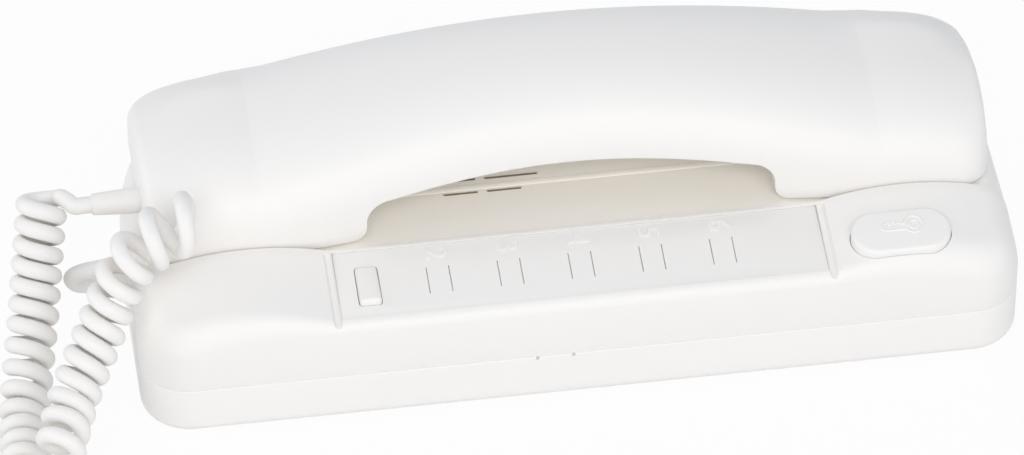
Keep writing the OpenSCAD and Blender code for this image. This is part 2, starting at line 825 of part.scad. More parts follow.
// Form of the handset: its near edge, its top, and a section across it, all drawn in by d
function narrower(x) = abs(x) < shoulder_x ? waist * pow(1 - pow(x / shoulder_x, 2), 2) : 0;
function hand_near(x, d) =
    hand_near_y + d + narrower(x) + round_in(max(hand_half - d - abs(x), eps), hand_r - d);
function hand_far(x, d) = hand_far_y - d - round_in(max(hand_half - d - abs(x), eps), hand_r - d);
function hand_crest(x) = abs(x) < shoulder_x ? hand_top - x * x / (2 * arch_r)
    : end_top - pow((abs(x) - shoulder_x) / shoulder_run, 2);
function hand_z_at(x, d) = hand_crest(x) - d - max(end_bevel - (hand_half - d - abs(x)), 0);
function hand_section(x, d, low) =
    let (
        near = hand_near(x, d),
        far = hand_far(x, d),
        top = hand_z_at(x, d),
        foot = max(hand_crest(x) - dome_h, hand_z + 1.5),
        n = 14
    )
    concat(
        [[far, low]],
        [for (k = [0 : n])
            let (
                a = 180 * k / n,
                c = sign(cos(a)) * pow(abs(cos(a)), 2 / section_power),
                s = pow(sin(a), 2 / section_power)
            )
            [(near + far) / 2 + (far - near) / 2 * c, foot + (top - foot) * s]],
        [[near, low]]
    );

module hand_form(d, low) {
    xs = places(hand_half - d - eps, 18);
    loft(xs, [for (x = xs) hand_section(x, d, low)]);
}

// The finger opening's outline from the end at +X to the middle, moved outwards by d
function opening_side(d) = concat(
    [for (k = [0 : 4]) let (a = 270 - 22.5 * k, r = corner_low_r - d)
        [grip_x + corner_low_r + r * cos(a), hand_z + corner_low_r + r * sin(a)]],
    [for (k = [0 : 5]) let (a = 18 * k, r = corner_high_r + d)
        [grip_x - corner_high_r + r * cos(a), hand_z + corner_high_z + r * sin(a)]],
    [for (k = [1 : 7]) let (x = (grip_x - corner_high_r) * (1 - k / 7))
        [x, opening_z(x) + d]]
);
function opening_z(x) = hand_z + corner_high_z + corner_high_r
    + (grip_h - corner_high_z - corner_high_r) * (1 - pow(x / (grip_x - corner_high_r), 2));
function backwards(p) = [for (i = [len(p) - 1 : -1 : 0]) p[i]];
function mirrored(p) = [for (q = backwards(p)) [-q[0], q[1]]];
function opening_line(d) = let (p = opening_side(d))
    concat(p, [for (q = mirrored(p)) if (q[0] < -eps) q]);

// An outline in X and Z, drawn out along Y from y0 to y1
module across(points, y0, y1) {
    translate([0, y1, 0]) rotate([90, 0, 0]) linear_extrude(y1 - y0) polygon(points);
}

module finger_opening() {
    p = opening_line(0);
    across(concat([[grip_x + corner_low_r, hand_z - 5]], p, [[-grip_x - corner_low_r, hand_z - 5]]),
        hand_near_y - 5, hand_far_y + 5);
}

module handset_outer_shell() color(ivory) {
    difference() {
        union() {
            difference() {
                hand_form(0, hand_z);
                hand_form(hand_wall, hand_z - 1);
            }
            intersection() {
                hand_form(hand_wall / 2, hand_z);
                for (p = hand_screw_at) {
                    post(p, post_r, hand_z + hand_boss_h, hand_top);
                }
            }
        }
        finger_opening();
        translate([-hand_half - 1, hand_boot_y, hand_boot_z]) rotate([0, 90, 0])
            cylinder(d = boot_d + 2 * slip, h = 2 * hand_wall + end_bevel);
        for (p = hand_screw_at) {
            post(p, hand_screw_r + slip, hand_z, 13);
        }
    }
}

// The inner shell's outline, seen from the front
function inner_plan() = let (d = hand_wall + fit, n = 18, half = hand_half - d - eps) concat(
    [for (x = places(half, n)) [x, hand_near(x, d + eps)]],
    [for (x = places(half, n)) [-x, hand_far(-x, d + eps)]]
);

module handset_inner_shell() color(ivory) {
    half = hand_half - hand_wall - fit;
    band = concat([[half + 1, hand_z]], opening_line(0), [[-half - 1, hand_z], [-half - 1, hand_z + inner_t]],
        backwards(opening_line(inner_t)), [[half + 1, hand_z + inner_t]]);
    difference() {
        union() {
            intersection() {
                across(band, hand_near_y, hand_far_y);
                linear_extrude(hand_top) polygon(inner_plan());
            }
            post(ear_at, ear_r + lobe_over, hand_z - lobe_h, lobe_h + eps);
            post(mic_at, mic_boot_r + lobe_over, hand_z - lobe_h, lobe_h + eps);
            ring(ear_at, ear_r + fit, ear_r + fit + cup_t, hand_z + inner_t - eps, cup_h);
            ring(mic_at, mic_boot_r + fit, mic_boot_r + fit + cup_t, hand_z + inner_t - eps, cup_h);
            for (p = hand_screw_at) {
                post(p, post_r + 0.7, hand_z, hand_boss_h);
            }
        }
        for (a = [0 : 60 : 300]) {
            post(ear_at + 8 * [cos(a), sin(a)], hole_r, hand_z - 5, 10);
        }
        for (x = [-1, 1]) {
            post(mic_at + [2.5 * x, 0], hole_r, hand_z - 5, 10);
        }
        post(ear_at, hole_r, hand_z - 5, 10);
        for (p = hand_screw_at) {
            post(p, board_screw_head_r + fit, hand_z - 1, 1 + hand_boss_h - 2);
            post(p, hand_screw_r + fit, hand_z - 1, 10);
        }
    }
}

module handset_screws() color(steel) {
    for (p = hand_screw_at) {
        screw(p, hand_z + hand_boss_h - 2, -1, board_screw_head_r, screw_head_h, hand_screw_r,
            hand_screw_l);
    }
}

module earpiece_gasket() color(foam)
    ring(ear_at, ear_r - 4, ear_r, hand_z + inner_t, gasket_t);

module earpiece_capsule() color(dark) {
    low = hand_z + inner_t + gasket_t;
    translate([ear_at[0], ear_at[1], 0]) rotate_extrude() polygon([
        [0, low + 1], [ear_r - 4, low + 1], [ear_r - 3, low], [ear_r, low], [ear_r, low + 4],
        [ear_r - 5, low + ear_h], [0, low + ear_h]
    ]);
}

module microphone_boot() color(foam) {
    low = hand_z + inner_t;
    difference() {
        post(mic_at, mic_boot_r, low, mic_h + mic_boot_t - slip);
        post(mic_at, mic_r, low + mic_boot_t, mic_h + 1);
        post(mic_at, 2 * hole_r, low - 1, mic_boot_t + 2);
    }
}

module microphone_capsule() color(steel)
    post(mic_at, mic_r, hand_z + inner_t + mic_boot_t, mic_h);

back_plate();
front_cover();
button_panel();
call_button();
door_button();
circuit_board();
board_screws();
terminal_block();
terminal_screws();
cord_connector();
call_switch();
door_switch();
call_spring();
door_spring();
hook_plunger();
hook_spring();
hook_switch();
call_speaker();
speaker_clip();
speaker_screws();
base_cord_boot();
curly_cord();
handset_outer_shell();
handset_inner_shell();
earpiece_capsule();
earpiece_gasket();
microphone_capsule();
microphone_boot();
handset_screws();
handset_cord_boot();
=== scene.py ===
"""Looks of a wall intercom phone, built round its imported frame.

The base lies on its back with the handset in its cradle and a curly cord between them. X runs along
the length with the cord at -X, Y across it with the buttons at -Y, and Z away from the wall. Sizes
are written in millimetres, as in the part's source, and meshes are made in metres.
"""
from math import cos, hypot, pi, radians, sin, sqrt, tan

import bmesh
import bpy
import numpy as np
from mathutils import Matrix, Vector


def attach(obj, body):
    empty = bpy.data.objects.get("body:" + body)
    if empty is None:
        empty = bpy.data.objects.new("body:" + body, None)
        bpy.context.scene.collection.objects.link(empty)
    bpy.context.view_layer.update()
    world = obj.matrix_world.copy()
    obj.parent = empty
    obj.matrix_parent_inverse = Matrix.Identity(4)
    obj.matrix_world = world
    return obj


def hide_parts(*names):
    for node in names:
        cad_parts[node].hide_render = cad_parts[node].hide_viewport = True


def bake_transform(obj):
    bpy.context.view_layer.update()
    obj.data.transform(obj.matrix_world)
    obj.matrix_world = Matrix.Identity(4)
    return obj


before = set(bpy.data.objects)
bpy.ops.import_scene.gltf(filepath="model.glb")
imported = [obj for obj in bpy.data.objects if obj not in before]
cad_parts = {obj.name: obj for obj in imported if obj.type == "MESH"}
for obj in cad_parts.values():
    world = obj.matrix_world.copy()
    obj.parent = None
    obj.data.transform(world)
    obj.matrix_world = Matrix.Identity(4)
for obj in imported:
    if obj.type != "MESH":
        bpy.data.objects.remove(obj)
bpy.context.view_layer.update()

MM = 0.001

# Base
HALF_L = 110
HALF_W = 40
NEAR_R = 12.5
FAR_R = 28
PLATE_H = 14.5
PLATE_EDGE_R = 3.5
BASE_WALL = 2.5
FACE_H = 31
FACE_TILT = radians(10)
CRADLE_H = 34
CRADLE_Y = -16
CROWN_H = 3
CROWN_X = 82
END_H = 11.5
END_D = 7.5
CREASE_R = 3
CREASE_END_R = 8
CREASE_RUN = 30
ROUND_POWER = 2.3
STEP_H = 0.6
RIM_R = 0.35
GROOVE_X = 61.5
GROOVE_W = 2
POCKET_D = 2.2
PANEL_V = 2.6
PANEL_DROP = 0.4
FACE_V = 24 / cos(FACE_TILT)
LIP = 1.2
PLACE_X = -52.8
PLACE_PITCH = 17.65
ROW_Y = -28
CALL_SIZE = (5.5, 11.5)
DOOR_SIZE = (25, 12.5)
DOOR_AT = (79.4, -31)
BUTTON_GAP = 0.18
BUTTON_PROUD = 1.2
GRILLE_AT = (-20.3, 15.4)
EAR_AT = (76, 12)
MIC_AT = (-84, 12)
HOOK_AT = (-62, 12)

# Handset
HAND_HALF = 105.5
HAND_NEAR = -15.6
HAND_FAR = 39.6
HAND_Z = 34.5
HAND_TOP = 66.5
END_TOP = 57.3
ARCH_R = 323
WAIST = 7.6
DOME_H = 16.5
HAND_WALL = 2.5
HAND_R = 8.5
END_BEVEL = 1.2
CORNER_X = 88
CORNER_Y = 8
CORNER_R = 16.3
CORNER_START = 70
CORNER_FALL = 0.45
FAR_POWER = 4.2
GRIP_X = 51
GRIP_H = 14.2
LOW_R = 3.5
HIGH_R = 6
HIGH_Z = 5.2
SHOULDER_X = sqrt(2 * ARCH_R * (HAND_TOP - END_TOP))
SHOULDER_RUN = 13

# Cord
CORD_D = 4.2
BASE_TIP = (-115, -2, 18.5)
HAND_TIP = (-117.5, 2, 41.5)


class Net:
    """A socket of a node tree. Sums and products of nets add Math nodes."""

    def __init__(self, tree, socket=None):
        self.tree = tree
        self.socket = socket

    def node(self, kind, settings=None, inputs=None, output=0):
        """Adds a node: its settings first, then the values or links of its sockets."""
        made = self.tree.nodes.new(kind)
        for name, value in (settings or {}).items():
            setattr(made, name, value)
        for name, value in (inputs or {}).items():
            if isinstance(value, Net):
                self.tree.links.new(value.socket, made.inputs[name])
            else:
                made.inputs[name].default_value = value
        return Net(self.tree, made.outputs[output])

    def math(self, operation, a, b=0.0):
        return self.node("ShaderNodeMath", {"operation": operation}, {0: a, 1: b})

    def __add__(self, other):
        return self.math("ADD", self, other)

    def __sub__(self, other):
        return self.math("SUBTRACT", self, other)

    def __rsub__(self, other):
        return self.math("SUBTRACT", other, self)

    def __mul__(self, other):
        return self.math("MULTIPLY", self, other)

    def __truediv__(self, other):
        return self.math("DIVIDE", self, other)

    def __gt__(self, other):
        return self.math("GREATER_THAN", self, other)

    __radd__ = __add__
    __rmul__ = __mul__

    def share(self, full):
        """This net as a share of a full value, kept between 0 and 1."""
        return self.node("ShaderNodeClamp", {}, {"Value": self / full})

    def between(self, a, b):
        """Mixes two colours, with this net as the share of the second."""
        return self.node("ShaderNodeMix", {"data_type": "RGBA"}, {0: self, 6: a, 7: b}, output=2)


def new_material(name):
    """A material with an empty Principled shader, and a net to add nodes with."""
    material = bpy.data.materials.new(name)
    material.use_nodes = True
    shader = material.node_tree.nodes["Principled BSDF"]
    return material, shader, Net(material.node_tree)


def feed(net, shader, **values):
    """Sets the shader's sockets, or links nets to them."""
    for name, value in values.items():
        socket = shader.inputs[name.replace("_", " ").title()]
        if isinstance(value, Net):
            net.tree.links.new(value.socket, socket)
        else:
            socket.default_value = value


def noise(net, place, scale, detail=2.0, rough=0.5):
    return net.node("ShaderNodeTexNoise", {}, {
        "Vector": place, "Scale": scale, "Detail": detail, "Roughness": rough})


def object_place(net):
    return net.node("ShaderNodeTexCoord", output="Object")


def bump(net, height, strength, depth):
    return net.node("ShaderNodeBump", {}, {
        "Height": height, "Strength": strength, "Distance": depth})


# The part of the cradle under the handset that gets a painted warm bounce light: heights below and
# above its floor, the distance behind the step, and for the far rim and the ends where the painted
# light stops and how far it fades
PAINTED_BOUNCE_BELOW = 3.6
PAINTED_BOUNCE_ABOVE = 1.2
PAINTED_BOUNCE_STEP = 0.2
PAINTED_BOUNCE_FAR = (2, 12)
PAINTED_BOUNCE_END = (4, 16)


def painted_bounce_mask(net, place):
    """Mask of the painted warm bounce light: 1 on the cradle's floor under the handset, fading to 0 at
    the far rim and the two ends.
    """
    x, y, z = [net.node("ShaderNodeSeparateXYZ", {}, {"Vector": place}, output=axis)
               for axis in "XYZ"]
    behind = y > (CRADLE_Y + PAINTED_BOUNCE_STEP) * MM
    above = z > (CRADLE_H - PAINTED_BOUNCE_BELOW) * MM
    below = 1 - (z > (CRADLE_H + PAINTED_BOUNCE_ABOVE) * MM)
    far_fade = ((HALF_W - PAINTED_BOUNCE_FAR[0]) * MM - y).share(PAINTED_BOUNCE_FAR[1] * MM)
    from_end = (HALF_L - PAINTED_BOUNCE_END[0]) * MM - net.math("ABSOLUTE", x)
    return behind * above * below * (far_fade * from_end.share(PAINTED_BOUNCE_END[1] * MM))


def moulded_plastic(name, colour, aged, rough, grain, depth, painted_bounce_colour=None):
    """Satin moulded plastic: a fine spark-eroded grain, uneven gloss and a slight yellowing.

    The optional last colour is a painted warm bounce light on the part of the cradle that lies under
    the handset.
    """
    material, shader, net = new_material(name)
    place = object_place(net)
    patches = noise(net, place, scale=18, detail=3)
    fine = noise(net, place, scale=420, detail=3)
    pits = noise(net, place, grain, rough=0.6)
    age = patches * 0.8 + fine * 0.2
    tone = age.between(colour, aged)
    if painted_bounce_colour:
        # Painted warm bounce light: a creamier colour on the cradle's floor under the handset
        tone = painted_bounce_mask(net, place).between(tone, painted_bounce_colour)
    feed(net, shader,
         base_color=tone,
         roughness=rough - 0.05 + 0.1 * fine + 0.04 * patches,
         normal=bump(net, pits, strength=0.25, depth=depth))
    shader.inputs["IOR"].default_value = 1.47
    shader.inputs["Specular IOR Level"].default_value = 0.4
    return material


def soft_plastic(name, colour, aged):
    """Soft cord plastic: smooth, slightly uneven in colour, with a little dust."""
    material, shader, net = new_material(name)
    place = object_place(net)
    patches = noise(net, place, scale=60, detail=3)
    dust = noise(net, place, scale=900, detail=4, rough=0.7)
    feed(net, shader,
         base_color=(patches * 0.6 + dust * 0.4).between(colour, aged),
         roughness=0.4 + 0.16 * dust,
         normal=bump(net, dust, strength=0.15, depth=0.00008))
    shader.inputs["Specular IOR Level"].default_value = 0.4
    return material


def metal(name, colour, worn, rough):
    """Plated steel with fine scratches."""
    material, shader, net = new_material(name)
    place = object_place(net)
    drawn = net.node("ShaderNodeMapping", {}, {"Vector": place, "Scale": (1.0, 1.0, 8.0)})
    marks = noise(net, drawn, scale=700, detail=4, rough=0.7)
    feed(net, shader,
         base_color=marks.between(colour, worn),
         roughness=rough + 0.2 * marks,
         normal=bump(net, marks, strength=0.2, depth=0.00005))
    shader.inputs["Metallic"].default_value = 1.0
    return material


def board_finish(name):
    """Green solder mask over copper tracks, with tinned pads."""
    material, shader, net = new_material(name)
    place = object_place(net)
    tracks = net.node("ShaderNodeTexBrick", {"offset": 0.35}, {
        "Vector": place, "Scale": 90.0, "Mortar Size": 0.06, "Color1": (0.0, 0.0, 0.0, 1.0),
        "Color2": (0.1, 0.1, 0.1, 1.0), "Mortar": (1.0, 1.0, 1.0, 1.0)}, output="Fac")
    pads = net.node("ShaderNodeTexVoronoi", {}, {"Vector": place, "Scale": 260.0})
    pad = pads > 0.62
    mask = tracks.between((0.012, 0.1, 0.035, 1), (0.03, 0.2, 0.07, 1))
    feed(net, shader,
         base_color=pad.between(mask, (0.55, 0.55, 0.5, 1)),
         roughness=0.35 + 0.1 * noise(net, place, scale=500),
         normal=bump(net, tracks, strength=0.4, depth=0.00003))
    return material


IVORY = (0.9, 0.875, 0.845, 1)
IVORY_AGED = (0.88, 0.85, 0.81, 1)
# Painted warm bounce light for the cradle's floor under the handset, not a colour of the plastic
PAINTED_BOUNCE_CREAM = (0.96, 0.915, 0.835, 1)
shell_finish = moulded_plastic("satin_ivory_plastic", IVORY, IVORY_AGED, 0.42, 2600, 0.00006)
# The cover's ivory plastic, with painted warm bounce light on the cradle's floor under the handset
cover_plastic_and_painted_bounce = moulded_plastic("ivory_cover_plastic_with_painted_bounce", IVORY, IVORY_AGED, 0.42, 2600, 0.00006, PAINTED_BOUNCE_CREAM)
key_finish = moulded_plastic("smooth_ivory_plastic", IVORY, IVORY_AGED, 0.34, 3600, 0.00003)
cord_finish = soft_plastic("soft_ivory_cord", IVORY, (0.86, 0.83, 0.79, 1))
dark_finish = moulded_plastic(
    "dull_black_plastic", (0.012, 0.012, 0.013, 1), (0.025, 0.024, 0.023, 1), 0.5, 1800, 0.0001)
blue_finish = moulded_plastic(
    "blue_terminal_plastic", (0.03, 0.1, 0.32, 1), (0.05, 0.13, 0.34, 1), 0.45, 2200, 0.00006)
foam_finish = moulded_plastic(
    "dark_foam_rubber", (0.03, 0.03, 0.033, 1), (0.05, 0.05, 0.052, 1), 0.8, 700, 0.0004)
cloth_finish = moulded_plastic(
    "brown_dust_cloth", (0.27, 0.205, 0.14, 1), (0.32, 0.25, 0.175, 1), 0.85, 1500, 0.0003)
steel_finish = metal("plated_steel", (0.62, 0.63, 0.65, 1), (0.5, 0.5, 0.5, 1), 0.25)
board_mask = board_finish("green_board")


MERGE_GAP = 1e-7
TOOL_ANGLE = 30
PIECE_ANGLE = 32
CORD_ANGLE = 50
SPRING_ANGLE = 60


def smooth_by_angle(mesh, angle):
    """Shades a mesh smooth, with sharp edges where two faces meet at more than an angle."""
    form = bmesh.new()
    form.from_mesh(mesh)
    bmesh.ops.remove_doubles(form, verts=form.verts, dist=MERGE_GAP)
    bmesh.ops.recalc_face_normals(form, faces=form.faces)
    limit = radians(angle)
    for edge in form.edges:
        edge.smooth = len(edge.link_faces) == 2 and edge.calc_face_angle(0.0) < limit
    for face in form.faces:
        face.smooth = True
    form.to_mesh(mesh)
    form.free()
    mesh.update()


def mesh_object(name, points, faces):
    """A new object from points in millimetres."""
    mesh = bpy.data.meshes.new(name)
    mesh.from_pydata([tuple(MM * float(v) for v in p) for p in points], [], faces)
    made = bpy.data.objects.new(name, mesh)
    bpy.context.scene.collection.objects.link(made)
    return made


def plain_mesh(made):
    """Turns an object with live modifiers into one with a plain mesh."""
    bpy.context.view_layer.update()
    view = bpy.context.evaluated_depsgraph_get()
    mesh = bpy.data.meshes.new_from_object(made.evaluated_get(view))
    made.modifiers.clear()
    made.data = mesh
    return made


def skin(rings, closed=False):
    """Points and faces of a skin over rings of equal length, capped at both ends or closed."""
    rings = np.asarray(rings, float)
    n, m = rings.shape[:2]
    faces = []
    for i in range(n if closed else n - 1):
        j = (i + 1) % n
        for k in range(m):
            l = (k + 1) % m
            faces.append((i * m + k, i * m + l, j * m + l, j * m + k))
    if not closed:
        faces.append(tuple(range(m))[::-1])
        faces.append(tuple(range((n - 1) * m, n * m)))
    return rings.reshape(-1, 3), faces


def skinned(name, rings, closed=False):
    return mesh_object(name, *skin(rings, closed))


def joined(name, parts):
    """One object from several, which are deleted."""
    form = bmesh.new()
    for part in parts:
        form.from_mesh(part.data)
    mesh = bpy.data.meshes.new(name)
    form.to_mesh(mesh)
    form.free()
    for part in parts:
        bpy.data.objects.remove(part)
    made = bpy.data.objects.new(name, mesh)
    bpy.context.scene.collection.objects.link(made)
    return made


def combine(made, tools, operation):
    """Cuts tools out of an object, or adds them to it, and deletes them."""
    for tool in tools:
        smooth_by_angle(tool.data, TOOL_ANGLE)
        step = made.modifiers.new(tool.name, "BOOLEAN")
        step.operation = operation
        step.solver = "EXACT"
        step.use_self = False
        step.object = tool
    plain_mesh(made)
    for tool in tools:
        bpy.data.objects.remove(tool)
    return made


def finish(made, material, body, replaced=()):
    """Shades a piece, gives it its material and puts it on its body."""
    smooth_by_angle(made.data, PIECE_ANGLE)
    made.data.materials.clear()
    made.data.materials.append(material)
    for face in made.data.polygons:
        face.material_index = 0
    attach(made, body)
    if replaced:
        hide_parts(*replaced)
    return made


def round_in(d, r):
    """How far a round corner of radius r draws a wall in, at a distance d from the corner's end."""
    return r - sqrt(r * r - (r - d) ** 2) if d < r else 0.0


def arc(centre, r, first, last, n):
    """Points of an arc, from one angle to another."""
    return [(centre[0] + r * cos(a), centre[1] + r * sin(a)) for a in np.linspace(first, last, n)]


LEAST_R = 0.02
FULL_ROUND = 99


def rounded_plan(length, width, r, d=0.0, n=8):
    """Outline of a rectangle with round corners, drawn in by d. FULL_ROUND gives half-round ends."""
    r = min(r, length / 2, width / 2)
    corners = ((1, 1, 0), (-1, 1, 90), (-1, -1, 180), (1, -1, 270))
    return [q for sx, sy, a in corners
            for q in arc((sx * (length / 2 - r), sy * (width / 2 - r)), max(r - d, LEAST_R),
                         radians(a), radians(a + 90), n)]


def prism(name, outline, low, high):
    """A straight prism over an outline in X and Y."""
    return skinned(name, [[(x, y, z) for x, y in outline] for z in (low, high)])


def moved_outline(outline, at):
    return [(x + at[0], y + at[1]) for x, y in outline]


def disc(name, at, r, low, high, n=64):
    return prism(name, [(at[0] + r * cos(a), at[1] + r * sin(a))
                        for a in np.linspace(0, 2 * pi, n, endpoint=False)], low, high)


def box_form(name, at, size, low, high):
    return prism(name, moved_outline(
        [(size[0] / 2, size[1] / 2), (-size[0] / 2, size[1] / 2),
         (-size[0] / 2, -size[1] / 2), (size[0] / 2, -size[1] / 2)], at), low, high)


def face_z(y):
    """Height of the tilted button face, without the crown of its two ends."""
    return FACE_H + (y + HALF_W) * tan(FACE_TILT)


def on_face(u, v, w):
    """A point from the button face's own frame: u along X, v up the face, w out of it."""
    return (u, -HALF_W + v * cos(FACE_TILT) - w * sin(FACE_TILT),
            FACE_H + v * sin(FACE_TILT) + w * cos(FACE_TILT))


def face_matrix(u, v, w):
    """Moves and tilts a mesh from the origin to a point of the button face's frame."""
    corner = Matrix.Translation(Vector((0, -HALF_W, FACE_H)) * MM)
    return corner @ Matrix.Rotation(FACE_TILT, 4, "X") @ Matrix.Translation(Vector((u, v, w)) * MM)


# Camera at the photograph's viewing angle. Distances are in metres, the lens and its film in mm.
LOOK_AT = Vector((0, 0, 0.03))
VIEW_TURN = radians(-8.44)
VIEW_HEIGHT = radians(42.55)
VIEW_DISTANCE = 1.8
VIEW_END = 20
FRAME_SIDE = 0.01285
FRAME_DOWN = 0.0075
FILM_WIDTH = 36
LENS = 254


def place_camera():
    back = Vector((sin(VIEW_TURN) * cos(VIEW_HEIGHT), -cos(VIEW_TURN) * cos(VIEW_HEIGHT),
                   sin(VIEW_HEIGHT)))
    right = Vector((cos(VIEW_TURN), sin(VIEW_TURN), 0))
    up = back.cross(right)
    data = bpy.data.cameras.new("photo_camera")
    data.sensor_width = FILM_WIDTH
    data.lens = LENS
    data.clip_end = VIEW_END
    camera = bpy.data.objects.new("photo_camera", data)
    bpy.context.scene.collection.objects.link(camera)
    place = LOOK_AT + back * VIEW_DISTANCE - right * FRAME_SIDE - up * FRAME_DOWN
    turn = Matrix((right, up, back)).transposed()
    camera.matrix_world = Matrix.Translation(place) @ turn.to_4x4()
    bpy.context.scene.camera = camera


place_camera()

# Curly cord: the plain tail from the base, points on the middle line of the curls with the distance
# from curl to curl and their radius, and the neck at the handset. NEAR_TURN says which of those points
# is the one where the cord turns back.
TAIL = [
    BASE_TIP, (-117.1, -2, 18.5), (-119.2, -2, 18.5),
    (-122.4, -3, 20), (-123.8, -5, 24), (-121.8, -7.6, 28), (-117.5, -10.5, 31.5), (-112.5, -13.5, 35),
    (-107.5, -16.5, 39), (-101, -18.6, 43.5), (-96.5, -19, 50),
]
CURLS = [
    (-94.5, -25, 57.5, 8.4, 6), (-102.6, -27, 56, 8, 5.8), (-109, -29.2, 52.6, 7.2, 5.3),
    (-113, -31.2, 47.6, 6.4, 4.8), (-116, -33.4, 42.2, 5.8, 4.5), (-118.8, -36.4, 37.2, 5.2, 4.4),
    (-121.8, -40, 32.8, 5.1, 4.4), (-124.8, -44, 28.8, 5.3, 4.4), (-127.6, -48.6, 25.4, 5.6, 4.4),
    (-130.2, -54.6, 23, 5.8, 4.4), (-132.4, -62, 21.8, 7.6, 4.4), (-133.7, -68.2, 19.6, 10.8, 4.4),
    (-136.8, -70.8, 14.3, 11.4, 4.4), (-139.8, -68.2, 8.9, 10.8, 4.4), (-141, -62, 6.7, 7.6, 4.4),
    (-140.6, -54, 6.7, 5.4, 4.4), (-140, -45.5, 6.7, 5, 4.4), (-139.6, -37, 7, 5.6, 4.4),
    (-138.2, -28.8, 9.2, 5.9, 4.4), (-136.4, -20.8, 13.8, 5.6, 4.4), (-134.4, -13.2, 20, 5.1, 4.4),
    (-132.7, -6.4, 27.2, 4.9, 4.4), (-131, -0.4, 35, 4.9, 4.4), (-129.2, 6, 43, 4.9, 4.4),
]
NECK = [(-123.1, 3.4, 42), (-121.7, 2, 41.5), (-119.6, 2, 41.5), HAND_TIP]
NEAR_TURN = 12
AXIS_STEPS = 10
CURL_RINGS = 8
CURL_SPLIT = 4
TAIL_STEPS = 2
CORD_SIDES = 16


def smooth_curve(points, n):
    """A smooth curve through points, with n steps from each point to the next."""
    p = np.asarray(points, float)
    out = []
    for i in range(len(p) - 1):
        a, b, c, d = p[max(i - 1, 0)], p[i], p[i + 1], p[min(i + 2, len(p) - 1)]
        for t in np.arange(n) / n:
            out.append((2 * b + (c - a) * t + (2 * a - 5 * b + 4 * c - d) * t ** 2
                        + (3 * b - a - 3 * c + d) * t ** 3) / 2)
    return np.array(out + [p[-1]])


def unit_rows(v):
    return v / np.linalg.norm(v, axis=-1, keepdims=True)


def directions(p):
    """Directions along a line of points."""
    step = np.zeros_like(p)
    step[1:-1] = p[2:] - p[:-2]
    step[0] = p[1] - p[0]
    step[-1] = p[-1] - p[-2]
    return unit_rows(step)


def carried(tangents, first):
    """A vector that is carried along a line, square to it."""
    out = []
    v = np.asarray(first, float)
    for t in tangents:
        v = v - (v @ t) * t
        v = v / np.linalg.norm(v)
        out.append(v)
    return np.array(out)


def cord_middle_line():
    """Points along the cord from the base to the handset, and which of them is at its near turn."""
    axis = smooth_curve(CURLS, AXIS_STEPS)
    place = axis[:, :3]
    tangent = directions(place)
    side = carried(tangent, (0, 1, 0))
    run = np.linalg.norm(np.diff(place, axis=0), axis=1)
    before = np.concatenate(([0], np.cumsum(2 * run / (axis[1:, 3] + axis[:-1, 3]))))
    count = int(before[-1] * CURL_RINGS)
    c = np.arange(count * CURL_SPLIT + 1) / (CURL_RINGS * CURL_SPLIT)

    def at(values):
        return np.stack([np.interp(c, before, column) for column in values.T], axis=1)

    t = unit_rows(at(tangent))
    n = at(side)
    n = unit_rows(n - (n * t).sum(1, keepdims=True) * t)
    r = np.interp(c, before, axis[:, 4])[:, None]
    turn = (2 * pi * c)[:, None]
    curls = at(place) + r * (np.cos(turn) * n - np.sin(turn) * np.cross(t, n))
    first, last = curls[::CURL_SPLIT][:2], curls[::CURL_SPLIT][-2:]
    steps = TAIL_STEPS * CURL_SPLIT
    tail = smooth_curve(np.vstack((TAIL, first)), steps)[:len(TAIL) * steps]
    neck = smooth_curve(np.vstack((last, NECK)), steps)[steps + 1:]
    line = np.vstack((tail, curls, neck))
    turn_at = np.interp(NEAR_TURN * AXIS_STEPS, range(len(before)), before)
    return line, len(tail) + int(np.argmin(np.abs(c - turn_at)))


def cord_tube(name, line, d=CORD_D, sides=CORD_SIDES):
    """A round tube along a line."""
    tangent = directions(line)
    side = carried(tangent, (0, 0, 1))
    other = np.cross(tangent, side)
    angle = np.linspace(0, 2 * pi, sides, endpoint=False)[None, :, None]
    ring = np.cos(angle) * side[:, None] + np.sin(angle) * other[:, None]
    return skinned(name, line[:, None] + d / 2 * ring)


def make_cord(name, line):
    cord = cord_tube(name, line)
    smooth_by_angle(cord.data, CORD_ANGLE)
    cord.data.materials.append(cord_finish)
    return cord


cord_line, turn_row = cord_middle_line()
base_line = cord_line[:turn_row + 1]
hand_line = cord_line[turn_row:][::-1]
from_base = make_cord("cord_from_base", base_line)
to_hand = make_cord("cord_to_handset", hand_line)

# Back plate of the base
PLATE_CUT = (-1, 4)
BOARD_POSTS = ((-90, -13), (90, -13), (-26, -31), (52, -31))
POST_R = 3.5
BOARD_Z = 16
HOOK_SEAT = (14, 13, 10)
TAB_SIZE = (8, 1.5)
TAB_X = 70
TAB_TOP = 22.3
TAB_GAP = 0.1
SCREW_X = 41.75
SCREW_Y = 28
SCREW_R = 2.25
ENTRY_AT = (50, 10)
ENTRY_SIZE = (24, 20)
ENTRY_R = 2
NOTCH_X = (-12.5, -3.5)
NOTCH_SIZE = (0.8, 1.8)
NOTCH_H = 0.9
CORNER_STEPS = 16
PEG_STEPS = 32
EDGE_STEPS = 11
RIM_STEPS = 4


def base_outline(d):
    """Outline of the base, drawn in by d."""
    corners = ((1, 1, FAR_R, 0), (-1, 1, FAR_R, 90), (-1, -1, NEAR_R, 180), (1, -1, NEAR_R, 270))
    return [q for sx, sy, r, a in corners
            for q in arc((sx * (HALF_L - r), sy * (HALF_W - r)), r - d, radians(a), radians(a + 90),
                         CORNER_STEPS)]


def outline_ring(d, z):
    return [(x, y, z) for x, y in base_outline(d)]


